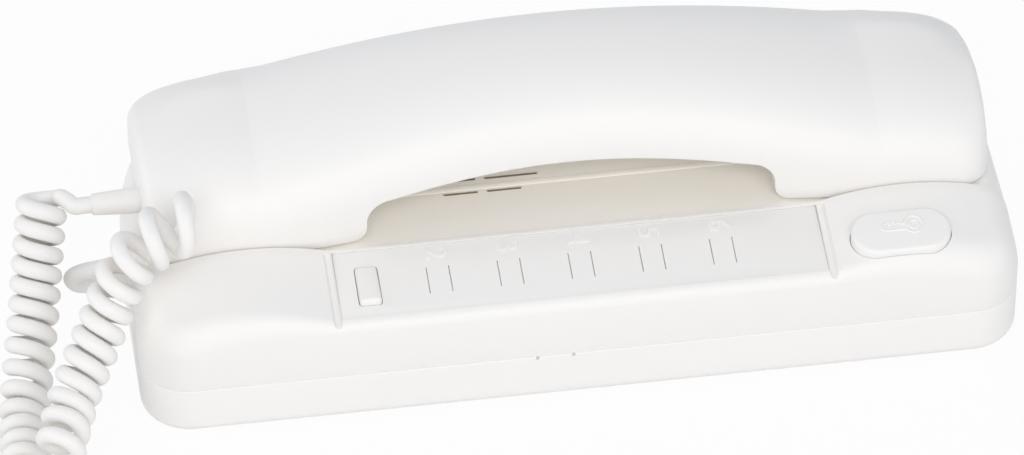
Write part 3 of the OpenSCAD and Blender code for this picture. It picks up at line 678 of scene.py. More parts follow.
def make_back_plate():
    edge = [outline_ring(PLATE_EDGE_R * (1 - sin(a)), PLATE_EDGE_R * (1 - cos(a)))
            for a in np.linspace(pi / 2, 0, EDGE_STEPS)]
    rim = [outline_ring(RIM_R * (1 - cos(a)), PLATE_H - RIM_R * (1 - sin(a)))
           for a in np.linspace(pi / 2, 0, RIM_STEPS)]
    rings = [outline_ring(BASE_WALL, BASE_WALL), outline_ring(BASE_WALL, PLATE_H)] + rim + edge
    plate = skinned("back_plate_shell", rings)
    holes = [disc("screw_hole", (s * SCREW_X, SCREW_Y), SCREW_R, *PLATE_CUT, PEG_STEPS)
             for s in (-1, 1)]
    entry = moved_outline(rounded_plan(*ENTRY_SIZE, ENTRY_R), ENTRY_AT)
    holes.append(prism("cable_entry", entry, *PLATE_CUT))
    holes += [box_form("pry_notch", (x, -HALF_W), NOTCH_SIZE, PLATE_H - NOTCH_H, PLATE_H + 1)
              for x in NOTCH_X]
    combine(plate, holes, "DIFFERENCE")
    inside = [box_form("hook_seat", HOOK_AT, HOOK_SEAT[:2], BASE_WALL, HOOK_SEAT[2])]
    for at in BOARD_POSTS:
        inside.append(disc("board_post", at, POST_R, BASE_WALL, BOARD_Z, PEG_STEPS))
    for sx in (-1, 1):
        for sy in (-1, 1):
            y = sy * (HALF_W - BASE_WALL - TAB_GAP - TAB_SIZE[1] / 2)
            inside.append(box_form("latch_tab", (sx * TAB_X, y), TAB_SIZE, BASE_WALL, TAB_TOP))
    return joined("back_plate_shell", [plate] + inside)


# Front cover of the base. STEP_CUT gives how far the edge of the cradle's step is cut at its middle.
STEP_EDGE = 0.4
STEP_CUT = (0.12, 0.14)
CREASE_LIMITS = (0.8, 0.6)
INSIDE_STEP = 0.1
COVER_ENDS = (0.005, 0.08, 0.25, 0.5, 0.85, 1.3, 1.8, 2.495, 2.505, 3.2, 4, 5, 6, 6.8, 7.5, 8.2)
COVER_FROM = 100.5
COVER_STEP = 1.5


def crown(x):
    """How far the face swells over its plain height, at the two ends beside the button strip."""
    if abs(x) < GROOVE_X:
        return 0.0
    return CROWN_H * (1 - ((abs(x) - CROWN_X) / (CROWN_X - GROOVE_X)) ** 2)


def end_drop(x):
    """How far the cover's end is rounded down."""
    s = max(1 - (HALF_L - abs(x)) / END_D, 0)
    return END_H * (1 - (1 - s ** ROUND_POWER) ** (1 / ROUND_POWER))


def crease(x):
    """Radius of the round edge between the face and the near wall."""
    share = min(max((abs(x) - GROOVE_X) / CREASE_RUN, 0), 1)
    return CREASE_R + (CREASE_END_R - CREASE_R) * share


def cover_section(x):
    """A closed section of the cover: its outside from the far rim to the near one, then its inside."""
    near = -HALF_W + round_in(HALF_L - abs(x), NEAR_R)
    far = HALF_W - round_in(HALF_L - abs(x), FAR_R)
    rise = crown(x) - end_drop(x)
    step_z = face_z(CRADLE_Y) + rise
    floor_z = min(CRADLE_H - end_drop(x), step_z - STEP_H)
    r = min(crease(x), (CRADLE_Y - near) * CREASE_LIMITS[0],
            (FACE_H + rise - PLATE_H) * CREASE_LIMITS[1])
    round_y = near + r
    round_z = face_z(round_y) + rise - r / cos(FACE_TILT)
    rim = np.linspace(-pi / 2, 0, RIM_STEPS)
    far_rim = [(far - RIM_R * (1 - cos(a)), PLATE_H + RIM_R * (1 + sin(a))) for a in rim]
    near_rim = [(near + RIM_R * (1 - cos(a)), PLATE_H + RIM_R * (1 + sin(a))) for a in rim[::-1]]
    far_round = arc((far - CREASE_R, floor_z - CREASE_R), CREASE_R, 0, pi / 2, 9)
    cradle = [(y, floor_z) for y in np.linspace(far - CREASE_R, CRADLE_Y, 5)[1:]]
    step = [(CRADLE_Y, step_z - STEP_EDGE), (CRADLE_Y - STEP_CUT[0], step_z - STEP_CUT[1])]
    top_y = round_y - r * sin(FACE_TILT)
    face = [(y, face_z(y) + rise) for y in np.linspace(CRADLE_Y - STEP_EDGE, top_y, 7)[:-1]]
    near_round = arc((round_y, round_z), r, pi / 2 + FACE_TILT, pi, 13)
    outside = far_rim + far_round + cradle + step + face + near_round + near_rim
    low_ceiling = max(min(floor_z, round_z) - BASE_WALL, PLATE_H + 1)
    ceiling = max(floor_z - BASE_WALL, low_ceiling + INSIDE_STEP)
    middle = CRADLE_Y + BASE_WALL
    inside = [(near + BASE_WALL, PLATE_H), (near + BASE_WALL, low_ceiling), (middle, low_ceiling),
              (middle, ceiling), (far - BASE_WALL - CREASE_R, ceiling),
              (far - BASE_WALL, ceiling - CREASE_R), (far - BASE_WALL, PLATE_H)]
    if abs(x) > HALF_L - BASE_WALL:
        inside = [(y, PLATE_H) for y in np.linspace(near + RIM_R, far - RIM_R, 9)[1:-1]]
    return [(x, y, z) for y, z in outside + inside]


def both_ways(places):
    """Places from one end to the other, from those on the +X side, which start at the end."""
    return list(-np.array(places)) + list(np.array(places)[::-1])


def cover_places():
    """Where the cover's sections lie along X: close together where it is rounded."""
    ends = HALF_L - np.array(COVER_ENDS)
    corner = np.arange(COVER_FROM, GROOVE_X + GROOVE_W / 2, -COVER_STEP)
    middle = [62.0, 60.4, *range(56, 0, -4), 1]
    return both_ways(np.concatenate((ends, corner, middle)))


# Cuts in the cover. CLEAR_Z, CLEAR_W and DISH_TOP lie outside it, HOLE_LOW and HOOK_LOW in its hollow.
CLEAR_Z = 60
CLEAR_W = 20
DISH_TOP = 45
HOLE_LOW = 20
HOOK_LOW = 26
HOLE_R = 1
HOOK_HOLE = (7.6, 11.6)
GROOVE_LOW = -1.4
GROOVE_SECTION = (
    (-1.15, CLEAR_W), (-1.15, 0.35), (-0.95, -0.3), (-0.55, -0.75), (0, -0.9),
    (0.55, -0.75), (0.95, -0.3), (1.15, 0.35), (1.15, CLEAR_W),
)
GROOVE_PLAY = 0.02
SLOT_ROWS = 3
SLOT_PITCH = 4.8
SLOT_W = 1.2
SLOT_RIB = 2
SLOT_DEPTH = 14
PEG_SIDES = 24
GRILLE_R = 17.5
GRILLE_T = 0.5
RELIEF_EDGE = 0.8
RELIEF_LOW = 9
DISH_Z = 31
EAR_DISH_R = 21
MIC_DISH_R = 12.35
BOSS_DROP = 0.05
RIDGE_Y = 2.7
RIDGE_L = 96
RIDGE_W = 2
RIDGE_H = 0.3
RIDGE_SUNK = 0.3
BLANK_PLACES = 5
SLIT_GAP = 5.6
SLIT_SIZE = (0.26, 8, 1.6)


def geometry_tree(name, sizes):
    """An empty Geometry Nodes tree with a named input for each size, and nets for its inputs."""
    tree = bpy.data.node_groups.new(name, "GeometryNodeTree")
    tree.interface.new_socket("Geometry", in_out="OUTPUT", socket_type="NodeSocketGeometry")
    for size in sizes:
        kind = "NodeSocketInt" if isinstance(sizes[size], int) else "NodeSocketFloat"
        tree.interface.new_socket(size, in_out="INPUT", socket_type=kind)
    tree.interface.new_socket("Material", in_out="INPUT", socket_type="NodeSocketMaterial")
    inside = tree.nodes.new("NodeGroupInput")
    net = Net(tree)
    return net, {s.name: Net(tree, s) for s in inside.outputs if s.name}


def close_tree(net, geometry, material):
    """Ends a tree in Realize Instances and Set Material."""
    real = net.node("GeometryNodeRealizeInstances", {}, {"Geometry": geometry})
    painted = net.node("GeometryNodeSetMaterial", {}, {"Geometry": real, "Material": material})
    out = net.tree.nodes.new("NodeGroupOutput")
    net.tree.links.new(painted.socket, out.inputs["Geometry"])


def grown(name, net, sizes, material):
    """An object with the plain mesh that a tree makes from its sizes."""
    made = mesh_object(name, [(0, 0, 0)], [])
    step = made.modifiers.new(name, "NODES")
    step.node_group = net.tree
    for socket in net.tree.interface.items_tree:
        if socket.in_out == "INPUT":
            step[socket.identifier] = material if socket.name == "Material" else sizes[socket.name]
    return plain_mesh(made)


def place_mesh(made, at):
    made.data.transform(Matrix.Translation(Vector(at) * MM))
    return made


def grille_slots():
    """Rows of slots with round ends over the call speaker, with a rib down their middle."""
    sizes = {"Rows": 2 * SLOT_ROWS + 1, "Pitch": SLOT_PITCH * MM, "Reach": GRILLE_R * MM,
             "Rib": SLOT_RIB * MM, "Slot Width": SLOT_W * MM, "Depth": SLOT_DEPTH * MM}
    net, size = geometry_tree("grille_slots", sizes)
    start = net.node("ShaderNodeCombineXYZ", {}, {"Y": size["Pitch"] * (size["Rows"] - 1) * -0.5})
    step = net.node("ShaderNodeCombineXYZ", {}, {"Y": size["Pitch"]})
    row = net.node("GeometryNodeMeshLine", {}, {
        "Count": size["Rows"], "Start Location": start, "Offset": step})
    place = net.node("GeometryNodeInputPosition")
    along = net.node("ShaderNodeSeparateXYZ", {}, {"Vector": place}, output="Y")
    half_chord = net.math("SQRT", size["Reach"] * size["Reach"] - along * along)
    row = net.node("GeometryNodeStoreNamedAttribute", {"data_type": "FLOAT", "domain": "POINT"}, {
        "Geometry": row, "Name": "slot_length", "Value": half_chord - size["Rib"] * 0.5})
    peg = net.node("GeometryNodeMeshCylinder", {}, {
        "Vertices": PEG_SIDES, "Radius": size["Slot Width"] * 0.5, "Depth": size["Depth"]})
    across = net.node("ShaderNodeSeparateXYZ", {}, {"Vector": place}, output="X")
    peg = net.node("GeometryNodeStoreNamedAttribute", {"data_type": "FLOAT", "domain": "POINT"}, {
        "Geometry": peg, "Name": "slot_side", "Value": 2 * (across > 0.0) - 1})
    pegs = net.node("GeometryNodeInstanceOnPoints", {}, {"Points": row, "Instance": peg})
    pegs = net.node("GeometryNodeRealizeInstances", {}, {"Geometry": pegs})
    length, side = [
        net.node("GeometryNodeInputNamedAttribute", {"data_type": "FLOAT"}, {"Name": name})
        for name in ("slot_length", "slot_side")]
    both = net.tree.nodes.new("GeometryNodeJoinGeometry")
    for way in (-1, 1):
        shift = side * (length - size["Slot Width"]) * 0.5 + (size["Rib"] + length) * (0.5 * way)
        offset = net.node("ShaderNodeCombineXYZ", {}, {"X": shift})
        slots = net.node("GeometryNodeSetPosition", {}, {"Geometry": pegs, "Offset": offset})
        net.tree.links.new(slots.socket, both.inputs["Geometry"])
    close_tree(net, Net(net.tree, both.outputs[0]), size["Material"])
    return grown("grille_slots", net, sizes, dark_finish)


def place_slits():
    """Pairs of narrow slits that mark the blank button places, in the frame of the face."""
    width, length, depth = SLIT_SIZE
    sizes = {"Places": BLANK_PLACES, "Pitch": PLACE_PITCH * MM, "Gap": SLIT_GAP * MM,
             "Slit Length": length * MM, "Slit Width": width * MM, "Depth": depth * MM}
    net, size = geometry_tree("place_slits", sizes)
    step = net.node("ShaderNodeCombineXYZ", {}, {"X": size["Pitch"]})
    row = net.node("GeometryNodeMeshLine", {}, {"Count": size["Places"], "Offset": step})
    shape = net.node("ShaderNodeCombineXYZ", {}, {
        "X": size["Slit Width"], "Y": size["Slit Length"], "Z": size["Depth"]})
    slit = net.node("GeometryNodeMeshCube", {}, {"Size": shape})
    both = net.tree.nodes.new("GeometryNodeJoinGeometry")
    for way in (-0.5, 0.5):
        offset = net.node("ShaderNodeCombineXYZ", {}, {"X": size["Gap"] * way})
        moved = net.node("GeometryNodeSetPosition", {}, {"Geometry": slit, "Offset": offset})
        net.tree.links.new(moved.socket, both.inputs["Geometry"])
    pairs = net.node("GeometryNodeInstanceOnPoints", {}, {
        "Points": row, "Instance": Net(net.tree, both.outputs[0])})
    close_tree(net, pairs, size["Material"])
    return grown("place_slits", net, sizes, dark_finish)


def face_box(name, u0, u1, v0, v1, w0, w1):
    """A block in the frame of the button face."""
    plan = ((u1, v1), (u0, v1), (u0, v0), (u1, v0))
    return skinned(name, [[on_face(u, v, w) for u, v in plan] for w in (w0, w1)])


def call_hole(name):
    """A cut for the call button, through the cover or the panel."""
    size = [side + 2 * BUTTON_GAP for side in CALL_SIZE]
    plan = moved_outline(rounded_plan(*size, HOLE_R), (PLACE_X, ROW_Y))
    return prism(name, plan, HOLE_LOW, CLEAR_Z)


def door_plan(gap, d=0.0):
    """Outline of the door button with a gap round it, drawn in by d."""
    size = [side + 2 * gap for side in DOOR_SIZE]
    return moved_outline(rounded_plan(*size, FULL_ROUND, d, 20), DOOR_AT)


def cradle_ridge():
    """A low rounded ridge along the cradle's floor."""
    half = RIDGE_W / 2
    bow = [(-half * cos(a), RIDGE_H * sin(a)) for a in np.linspace(0, pi, 9)]
    section = [(-half, -RIDGE_SUNK)] + bow + [(half, -RIDGE_SUNK)]
    return skinned("cradle_ridge", [[(x, RIDGE_Y + y, CRADLE_H + z) for y, z in section]
                                    for x in (-RIDGE_L / 2, RIDGE_L / 2)])


def make_front_cover():
    cover = skinned("front_cover_shell", [cover_section(x) for x in cover_places()])
    dishes = ((EAR_AT, EAR_DISH_R), (MIC_AT, MIC_DISH_R))
    bosses = [disc("dish_boss", at, r + BASE_WALL, DISH_Z - BASE_WALL, CRADLE_H - BOSS_DROP)
              for at, r in dishes]
    combine(cover, bosses, "UNION")
    cuts = [disc("cradle_dish", at, r, DISH_Z, DISH_TOP) for at, r in dishes]
    wide = GROOVE_X - GROOVE_W / 2 + GROOVE_PLAY
    cuts.append(face_box("panel_pocket", -wide, wide, PANEL_V, FACE_V - LIP, -POCKET_D, CLEAR_W))
    for s in (-1, 1):
        cuts.append(skinned("end_groove", [[on_face(s * GROOVE_X + u, v, w) for u, w in GROOVE_SECTION]
                                           for v in (GROOVE_LOW, FACE_V - LIP)]))
    cuts.append(disc("grille_relief", GRILLE_AT, GRILLE_R + RELIEF_EDGE, CRADLE_H - RELIEF_LOW,
                     CRADLE_H - GRILLE_T))
    cuts.append(call_hole("call_hole"))
    cuts.append(prism("door_hole", door_plan(BUTTON_GAP), HOLE_LOW, CLEAR_Z))
    hook = moved_outline(rounded_plan(*HOOK_HOLE, HOLE_R), HOOK_AT)
    cuts.append(prism("hook_hole", hook, HOOK_LOW, CLEAR_Z))
    cuts.append(place_mesh(grille_slots(), (*GRILLE_AT, CRADLE_H)))
    combine(cover, cuts, "DIFFERENCE")
    return joined("front_cover_shell", [cover, cradle_ridge()])


# Button panel and the two buttons
KEY_LOW = 26.1
FLANGE_Z = (26.05, 27.3)
STEM_R = 2.7
STEM_LOW = 23.7
CALL_STEM_TOP = 26.2
CALL_R = 0.9
CALL_EDGE_R = 1.0
CALL_LEAN = 0.08
CALL_FLANGE_L = 11.6
DOOR_STEM_TOP = 26.3
DOOR_STEM_AT = (DOOR_AT[0], DOOR_AT[1] + 1.8)
DOOR_TOP = (BUTTON_PROUD + CROWN_H) / cos(FACE_TILT)
DOOR_EDGE_R = 0.9
DOOR_EDGE_DROP = 0.15
DOOR_CROWN = ((2.2, 0.08), (4, 0.02), (5.6, 0))
DOOR_FLANGE = (27.8, 6)


def stacked(name, plan, tops, low, lean=0.0):
    """A form over a plan outline: straight up from a height, then rings drawn in towards its top.

    plan gives the outline drawn in by a distance, and tops is a list of distances drawn in with the
    heights of those rings over the button face at each point. lean raises the near side of the top.
    """
    first = [(x, y, low) for x, y in plan(tops[0][0])]
    rings = [[(x, y, face_z(y) + h - lean * (y - ROW_Y)) for x, y in plan(d)] for d, h in tops]
    return skinned(name, [first] + rings)


def edge_round(r, height):
    """Rings of a round edge, as distances drawn in and heights."""
    return [(r * (1 - cos(a)), height - r * (1 - sin(a))) for a in np.linspace(0, pi / 2, 7)]


def make_call_button():
    def plan(d):
        return moved_outline(rounded_plan(*CALL_SIZE, CALL_R, d), (PLACE_X, ROW_Y))

    top = (BUTTON_PROUD - PANEL_DROP) / cos(FACE_TILT)
    key = stacked("call_button_key", plan, edge_round(CALL_EDGE_R, top), KEY_LOW, CALL_LEAN)
    stem = disc("call_stem", (PLACE_X, ROW_Y), STEM_R, STEM_LOW, CALL_STEM_TOP, PEG_STEPS)
    flange = box_form("call_flange", (PLACE_X, ROW_Y), (CALL_FLANGE_L, CALL_SIZE[1]), *FLANGE_Z)
    return joined("call_button_key", [key, stem, flange])


def make_door_button():
    def plan(d):
        return door_plan(0, d)

    edge = edge_round(DOOR_EDGE_R, DOOR_TOP - DOOR_EDGE_DROP)
    edge += [(d, DOOR_TOP - drop) for d, drop in DOOR_CROWN]
    key = stacked("door_button_key", plan, edge, KEY_LOW)
    flange = moved_outline(rounded_plan(*DOOR_FLANGE, FULL_ROUND, n=12), DOOR_AT)
    wings = prism("door_flange", flange, *FLANGE_Z)
    stem = disc("door_stem", DOOR_STEM_AT, STEM_R, STEM_LOW, DOOR_STEM_TOP, PEG_STEPS)
    return joined("door_button_key", [key, wings, stem])


def raised_line(name, path, r):
    """A closed raised line on the top of the door button, along a path in X and Y."""
    p = np.array([(x, y, face_z(y) + DOOR_TOP) for x, y in path])
    along = unit_rows(np.roll(p, -1, 0) - np.roll(p, 1, 0))
    out = np.array([0, -sin(FACE_TILT), cos(FACE_TILT)])
    across = unit_rows(np.cross(along, out))
    rings = [[q + r * (cos(a) * v + sin(a) * out) for a in np.linspace(0, 2 * pi, 10, endpoint=False)]
             for q, v in zip(p, across)]
    return skinned(name, rings, closed=True)


# The key on the door button, about the middle of its bow
KEY_AT = (DOOR_AT[0] + 3.3, DOOR_AT[1] + 1.1)
BOW_R = (2.3, 2.5)
BOW_ANGLES = (radians(214), radians(534))
BOW_HOLE_R = (1.15, 1.25)
SHAFT = [
    (-3.1, 0.3), (-3.7, 0.9), (-4.4, 0.4), (-5.1, 1.0), (-5.8, 0.4), (-6.5, 0.9), (-7.2, 0.6),
    (-7.7, -0.1), (-7.8, -0.8), (-7.2, -1.4), (-6, -1.4), (-4.5, -1.4), (-3, -1.4),
]
KEY_LINE_R = 0.3
HOLE_LINE_R = 0.26


def make_key_sign():
    """The outline of a plain key, with a hole in its bow and teeth along its shaft."""
    bow = [(BOW_R[0] * cos(a), BOW_R[1] * sin(a)) for a in np.linspace(*BOW_ANGLES, 29)]
    hole = [(BOW_HOLE_R[0] * cos(a), BOW_HOLE_R[1] * sin(a))
            for a in np.linspace(0, 2 * pi, 24, endpoint=False)]
    outline = raised_line("key_outline", moved_outline(bow + SHAFT, KEY_AT), KEY_LINE_R)
    inner = raised_line("key_hole", moved_outline(hole, KEY_AT), HOLE_LINE_R)
    return joined("key_sign", [outline, inner])


# Panel: its play in the pocket, its corners, and its edge as distances drawn in and depths
PANEL_PLAY = 0.03
PANEL_R = 0.5
PANEL_EDGE = (
    (0, POCKET_D), (0, PANEL_DROP + 0.2), (0.06, PANEL_DROP + 0.06), (0.2, PANEL_DROP),
)


def make_panel():
    length = 2 * (GROOVE_X - GROOVE_W / 2)
    low_v = PANEL_V + PANEL_PLAY
    high_v = FACE_V - LIP - PANEL_PLAY
    middle = (low_v + high_v) / 2
    rings = [[on_face(u, middle + v, -depth)
              for u, v in rounded_plan(length, high_v - low_v, PANEL_R, d, 4)]
             for d, depth in PANEL_EDGE]
    panel = skinned("button_panel_plate", rings)
    slits = place_slits()
    row_v = (ROW_Y + HALF_W) / cos(FACE_TILT)
    slits.data.transform(face_matrix(PLACE_X + PLACE_PITCH, row_v, -PANEL_DROP))
    return combine(panel, [call_hole("call_window"), slits], "DIFFERENCE")


NUMERAL_V = 20.2
NUMERAL_SIZE = 7.6
NUMERAL_H = 0.2
NUMERAL_EDGE = 0.04


def make_numerals():
    """The place numbers, raised on the panel near its upper edge, with their tops towards +X."""
    marks = []
    for i in range(1, BLANK_PLACES + 1):
        letter = bpy.data.curves.new("numeral", "FONT")
        letter.body = str(i + 1)
        letter.size = NUMERAL_SIZE * MM
        letter.extrude = NUMERAL_H * MM
        letter.bevel_depth = NUMERAL_EDGE * MM
        letter.align_x = "CENTER"
        letter.align_y = "CENTER"
        text = bpy.data.objects.new("numeral", letter)
        bpy.context.scene.collection.objects.link(text)
        bpy.context.view_layer.update()
        view = bpy.context.evaluated_depsgraph_get()
        mesh = bpy.data.meshes.new_from_object(text.evaluated_get(view))
        bpy.data.objects.remove(text)
        mesh.transform(face_matrix(PLACE_X + i * PLACE_PITCH, NUMERAL_V, -PANEL_DROP)
                       @ Matrix.Rotation(-pi / 2, 4, "Z"))
        mark = bpy.data.objects.new("numeral", mesh)
        bpy.context.scene.collection.objects.link(mark)
        marks.append(mark)
    return joined("place_numerals", marks)


# Handset
HAND_ENDS = (
    0.005, 0.1, 0.3, 0.6, 1, 1.6, 2.495, 2.505, 3.2, 3.9, 4.4, 4.6, 5.2, 6, 7,
    8, 9, 10, 11.5, 13, 15, 17, 19, 21, 23, 25, 27, 28.3, 28.5, 30,
)
FLAT_FROM = 73
ROOF_FROM = 43
LENGTH_STEP = 2
LEAST_END = 0.01
ROOF_START = 0.02
DOME_STEPS = 48
EDGE_R = 0.6
FOOT_RISE = 1.5
EDGE_CLEAR = 0.2


def narrower(x):
    """How far the near side is drawn in at the grip."""
    return WAIST * (1 - (x / SHOULDER_X) ** 2) ** 2 if abs(x) < SHOULDER_X else 0.0


def hand_side(x, d):
    """The near and far sides of the handset, drawn in by d."""
    corner = round_in(max(HAND_HALF - d - abs(x), LEAST_END), HAND_R - d)
    return HAND_NEAR + d + narrower(x) + corner, HAND_FAR - d - corner


def hand_crest(x):
    """Height of the handset's ridge."""
    if abs(x) < SHOULDER_X:
        return HAND_TOP - x * x / (2 * ARCH_R)
    return END_TOP - ((abs(x) - SHOULDER_X) / SHOULDER_RUN) ** 2


def end_share(x):
    """How far a section is on its way from the grip's form to the ends' form."""
    share = min(max((abs(x) - CORNER_START) / (CORNER_X - CORNER_START), 0), 1)
    return share * share * (3 - 2 * share)


def hand_bevel(x, y, d):
    """How far the handset's top falls: at its edge, and outside a line that rounds the far corners."""
    edge = max(END_BEVEL - (HAND_HALF - d - abs(x)), 0)
    past = hypot(max(abs(x) + d - CORNER_X, 0), max(y + d - CORNER_Y, 0)) - CORNER_R
    return edge + CORNER_FALL * end_share(x) * max(past, 0)


def opening_z(x):
    """Height of the roof of the opening under the grip."""
    rise = GRIP_H - HIGH_Z - HIGH_R
    return HAND_Z + HIGH_Z + HIGH_R + rise * (1 - (x / (GRIP_X - HIGH_R)) ** 2)


def lower_edge():
    """The handset's lower edge from its +X end to its middle, as X and Z."""
    ends = HAND_HALF - np.array(HAND_ENDS)
    inward = np.arange(FLAT_FROM, GRIP_X + LOW_R, -LENGTH_STEP)
    flat = [(x, HAND_Z) for x in np.concatenate((ends, inward))]
    low = arc((GRIP_X + LOW_R, HAND_Z + LOW_R), LOW_R, -pi / 2, -pi, 8)
    high = arc((GRIP_X - HIGH_R, HAND_Z + HIGH_Z), HIGH_R, ROOF_START, pi / 2, 12)
    roof = [(x, opening_z(x)) for x in np.arange(ROOF_FROM, 0, -LENGTH_STEP)]
    return flat + low + high + roof


def whole_edge():
    side = lower_edge()
    return [(-x, z) for x, z in side] + side[::-1]


def hand_arch(x, near, far, foot, d):
    """The dome of a handset section, drawn in by d, from its near side to its far side."""
    out = []
    for a in np.linspace(pi, 0, DOME_STEPS + 1):
        power = ROUND_POWER
        if cos(a) > 0:
            power += (FAR_POWER - ROUND_POWER) * end_share(x)
        c = np.sign(cos(a)) * abs(cos(a)) ** (2 / power)
        y = (near + far) / 2 + (far - near) / 2 * c
        top = hand_crest(x) - d - hand_bevel(x, y, d)
        out.append((y, foot + (top - foot) * max(sin(a), 0) ** (2 / power)))
    return out


def hand_section(x, low):
    """A closed section of the outer shell: outside from the near edge to the far, then inside."""
    near, far = hand_side(x, 0)
    foot = max(hand_crest(x) - DOME_H, HAND_Z + FOOT_RISE, low + EDGE_R + EDGE_CLEAR)
    edge = [(EDGE_R * (1 - cos(a)), low + EDGE_R * (1 + sin(a))) for a in np.linspace(-pi / 2, 0, 5)]
    wall = list(np.linspace(low + EDGE_R, foot, 5)[1:-1])
    outside = [(near + y, z) for y, z in edge] + [(near, z) for z in wall]
    outside += hand_arch(x, near, far, foot, 0)
    outside += [(far, z) for z in wall[::-1]] + [(far - y, z) for y, z in edge[::-1]]
    if abs(x) > HAND_HALF - HAND_WALL:
        inside = [(y, low) for y in np.linspace(far - EDGE_R, near + EDGE_R, DOME_STEPS + 5)[1:-1]]
    else:
        near_in, far_in = hand_side(x, HAND_WALL)
        dome = hand_arch(x, near_in, far_in, foot, HAND_WALL)
        inside = [(far_in, low)] + dome[::-1] + [(near_in, low)]
    return [(x, y, z) for y, z in outside + inside]


def make_outer_shell():
    return skinned("handset_outer", [hand_section(x, low) for x, low in whole_edge()])


# Cord boots: a collar inside the wall, a taper from TAPER_FROM of the length, and a round tip
BOOT_R = 3.2
BOOT_TIP_R = 2.7
COLLAR_R = 4.2
COLLAR_BACK = 1.6
COLLAR_FRONT = 0.1
TAPER_FROM = 0.3
TIP_R = 0.4
TIP_CUT = (0.12, 0.14)

# Cloth behind the grille
CLOTH_EDGE = 0.7
CLOTH_DROP = (0.5, 0.1)


def make_boot(name, wall_x, wall, tip):
    """A plain tapered boot along -X, from a wall with its outside at wall_x to its tip."""
    out = wall_x - tip[0]
    turn = np.linspace(0, 2 * pi, PEG_STEPS, endpoint=False)
    profile = [(-wall - COLLAR_BACK, COLLAR_R), (-wall - COLLAR_FRONT, COLLAR_R),
               (-wall - COLLAR_FRONT, BOOT_R)]
    for s in np.linspace(0, 1, 11):
        taper = max((s - TAPER_FROM) / (1 - TAPER_FROM), 0)
        profile.append((s * (out - TIP_R), BOOT_R + (BOOT_TIP_R - BOOT_R) * taper))
    profile += [(out - TIP_CUT[0], BOOT_TIP_R - TIP_CUT[1]), (out, BOOT_TIP_R - TIP_R)]
    return skinned(name, [[(wall_x - s, tip[1] + r * cos(a), tip[2] + r * sin(a)) for a in turn]
                          for s, r in profile])


def make_cloth():
    low, high = [CRADLE_H - GRILLE_T - drop for drop in CLOTH_DROP]
    return disc("grille_cloth", GRILLE_AT, GRILLE_R + CLOTH_EDGE, low, high)


finish(make_back_plate(), shell_finish, "base", ["back_plate"])
finish(make_front_cover(), cover_plastic_and_painted_bounce, "base", ["front_cover"])
finish(make_cloth(), cloth_finish, "base")
finish(make_panel(), shell_finish, "base", ["button_panel"])
finish(make_numerals(), key_finish, "base")
finish(make_call_button(), key_finish, "call_key", ["call_button"])
finish(make_door_button(), key_finish, "door_key", ["door_button"])
finish(make_key_sign(), key_finish, "door_key")
finish(make_outer_shell(), shell_finish, "handset", ["handset_outer_shell"])
base_boot = finish(make_boot("cord_boot_base", -HALF_L, BASE_WALL, BASE_TIP), cord_finish, "base",
                   ["base_cord_boot"])
hand_boot = finish(make_boot("cord_boot_handset", -HAND_HALF, HAND_WALL, HAND_TIP), cord_finish,
                   "handset", ["handset_cord_boot"])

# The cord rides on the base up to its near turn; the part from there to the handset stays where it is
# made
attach(from_base, "base")
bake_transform(to_hand)
for cord, line, tip, boot in ((from_base, base_line, BASE_TIP, base_boot),
                              (to_hand, hand_line, HAND_TIP, hand_boot)):
    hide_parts("curly_cord")
    tuple(MM * v for v in tip)
    [tuple(MM * p) for p in line]

# The springs under the two buttons and the hook plunger: the node, the body that moves its top, its
# middle, the radius of its turns, its lowest and highest points, and how many turns it has
SPRING_D = 0.6
SPRING_SIDES = 8
TURN_STEPS = 24
springs = (("call_spring", "call_key", (PLACE_X, ROW_Y), 4.75, 17.6, 26.03, 4),
           ("door_spring", "door_key", DOOR_STEM_AT, 4.75, 17.6, 25.99, 4),
           ("hook_spring", "hook", HOOK_AT, 4.15, 17, 25.9, 5))
for node, body, at, r, low, high, turns in springs:
    share = np.linspace(0, 1, TURN_STEPS * turns + 1)
    turn = 2 * pi * turns * share
    wire = np.stack((at[0] + r * np.cos(turn), at[1] + r * np.sin(turn),
                     low + SPRING_D / 2 + (high - low - SPRING_D) * share), axis=1)
    spring = cord_tube(node + "_wire", wire, SPRING_D, SPRING_SIDES)
    smooth_by_angle(spring.data, SPRING_ANGLE)
    spring.data.materials.append(steel_finish)
    at[0] * MM
    at[1] * MM
    low * MM
    at[0] * MM
    at[1] * MM
    high * MM
    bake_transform(spring)
    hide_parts(node)

# Finishes of the solids that stay
kept_finishes = {
    shell_finish: ("handset_inner_shell", "cord_connector"),
    key_finish: ("hook_plunger",),
    board_mask: ("circuit_board",),
    steel_finish: ("board_screws", "terminal_screws", "speaker_clip", "speaker_screws",
                   "microphone_capsule", "handset_screws"),
    dark_finish: ("call_switch", "door_switch", "hook_switch", "call_speaker", "earpiece_capsule"),
    blue_finish: ("terminal_block",),
    foam_finish: ("earpiece_gasket", "microphone_boot"),
}
for material, nodes in kept_finishes.items():
    for node in nodes:
        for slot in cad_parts[node].material_slots:
            slot.material = material


# Floor and light. The floor keeps a small share of its own shade, so that it shows a faint shadow.
FLOOR_HALF = 4000
FLOOR_Z = -0.2
FLOOR_WHITE = 0.93
WHITE = (1, 1, 1, 1)


def seen_directly(net):
    """1 for rays that come from the camera, a reflection or glass, and 0 for the light on the part."""
    paths = net.tree.nodes.new("ShaderNodeLightPath")
    camera, glossy, glass = [Net(net.tree, paths.outputs[name]) for name in (
        "Is Camera Ray", "Is Glossy Ray", "Is Transmission Ray")]
    return net.math("MAXIMUM", net.math("MAXIMUM", camera, glossy), glass)


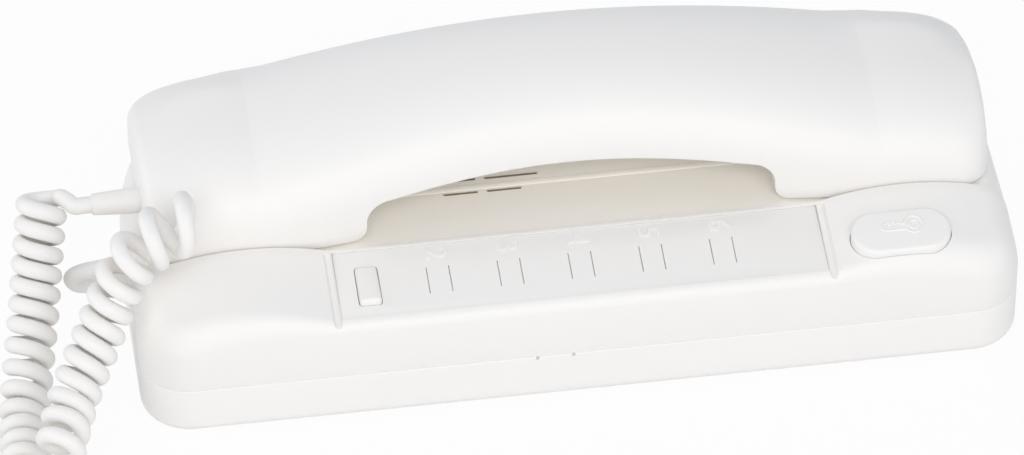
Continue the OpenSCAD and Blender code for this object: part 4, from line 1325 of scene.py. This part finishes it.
def make_floor():
    corners = [(sx * FLOOR_HALF, sy * FLOOR_HALF, FLOOR_Z)
               for sx, sy in ((-1, -1), (1, -1), (1, 1), (-1, 1))]
    floor = mesh_object("studio_floor", corners, [(0, 1, 2, 3)])
    material = bpy.data.materials.new("pale_floor")
    material.use_nodes = True
    tree = material.node_tree
    tree.nodes.clear()
    net = Net(tree)
    seen = seen_directly(net)
    pale = net.node("ShaderNodeBsdfDiffuse", {}, {"Color": (0.86, 0.86, 0.86, 1)})
    white = net.node("ShaderNodeEmission", {}, {"Color": WHITE, "Strength": 1.0})
    mixed = net.node("ShaderNodeMixShader", {}, {0: seen * FLOOR_WHITE, 1: pale, 2: white})
    out = tree.nodes.new("ShaderNodeOutputMaterial")
    tree.links.new(mixed.socket, out.inputs["Surface"])
    floor.data.materials.append(material)


def make_world():
    world = bpy.data.worlds.new("studio")
    bpy.context.scene.world = world
    world.use_nodes = True
    tree = world.node_tree
    tree.nodes.clear()
    net = Net(tree)
    seen = seen_directly(net)
    sky = net.node("ShaderNodeBackground", {}, {"Color": (0.87, 0.92, 1.0, 1), "Strength": 0.66})
    white = net.node("ShaderNodeBackground", {}, {"Color": WHITE, "Strength": 1.0})
    mixed = net.node("ShaderNodeMixShader", {}, {0: seen, 1: sky, 2: white})
    out = tree.nodes.new("ShaderNodeOutputWorld")
    tree.links.new(mixed.socket, out.inputs["Surface"])


def soft_box(name, at, size, power, colour):
    """A rectangular lamp at a place in metres, turned towards the part."""
    data = bpy.data.lights.new(name, "AREA")
    data.shape = "RECTANGLE"
    data.size, data.size_y = size
    data.energy = power
    data.color = colour
    lamp = bpy.data.objects.new(name, data)
    bpy.context.scene.collection.objects.link(lamp)
    lamp.location = at
    lamp.rotation_euler = (LOOK_AT - Vector(at)).to_track_quat("-Z", "Y").to_euler()


make_floor()
make_world()
soft_box("front_soft_box", (-0.1, -1.32, 1.28), (1.8, 0.6), 13, (1.0, 0.98, 0.955))
soft_box("low_soft_box", (0.2, -1.6, 0.4), (1.6, 0.5), 2.8, (1.0, 0.98, 0.95))
soft_box("side_soft_box", (-1.5, 0.5, 0.45), (1.0, 1.0), 6, (1.0, 1.0, 1.0))
bpy.context.scene.view_settings.view_transform = "Standard"
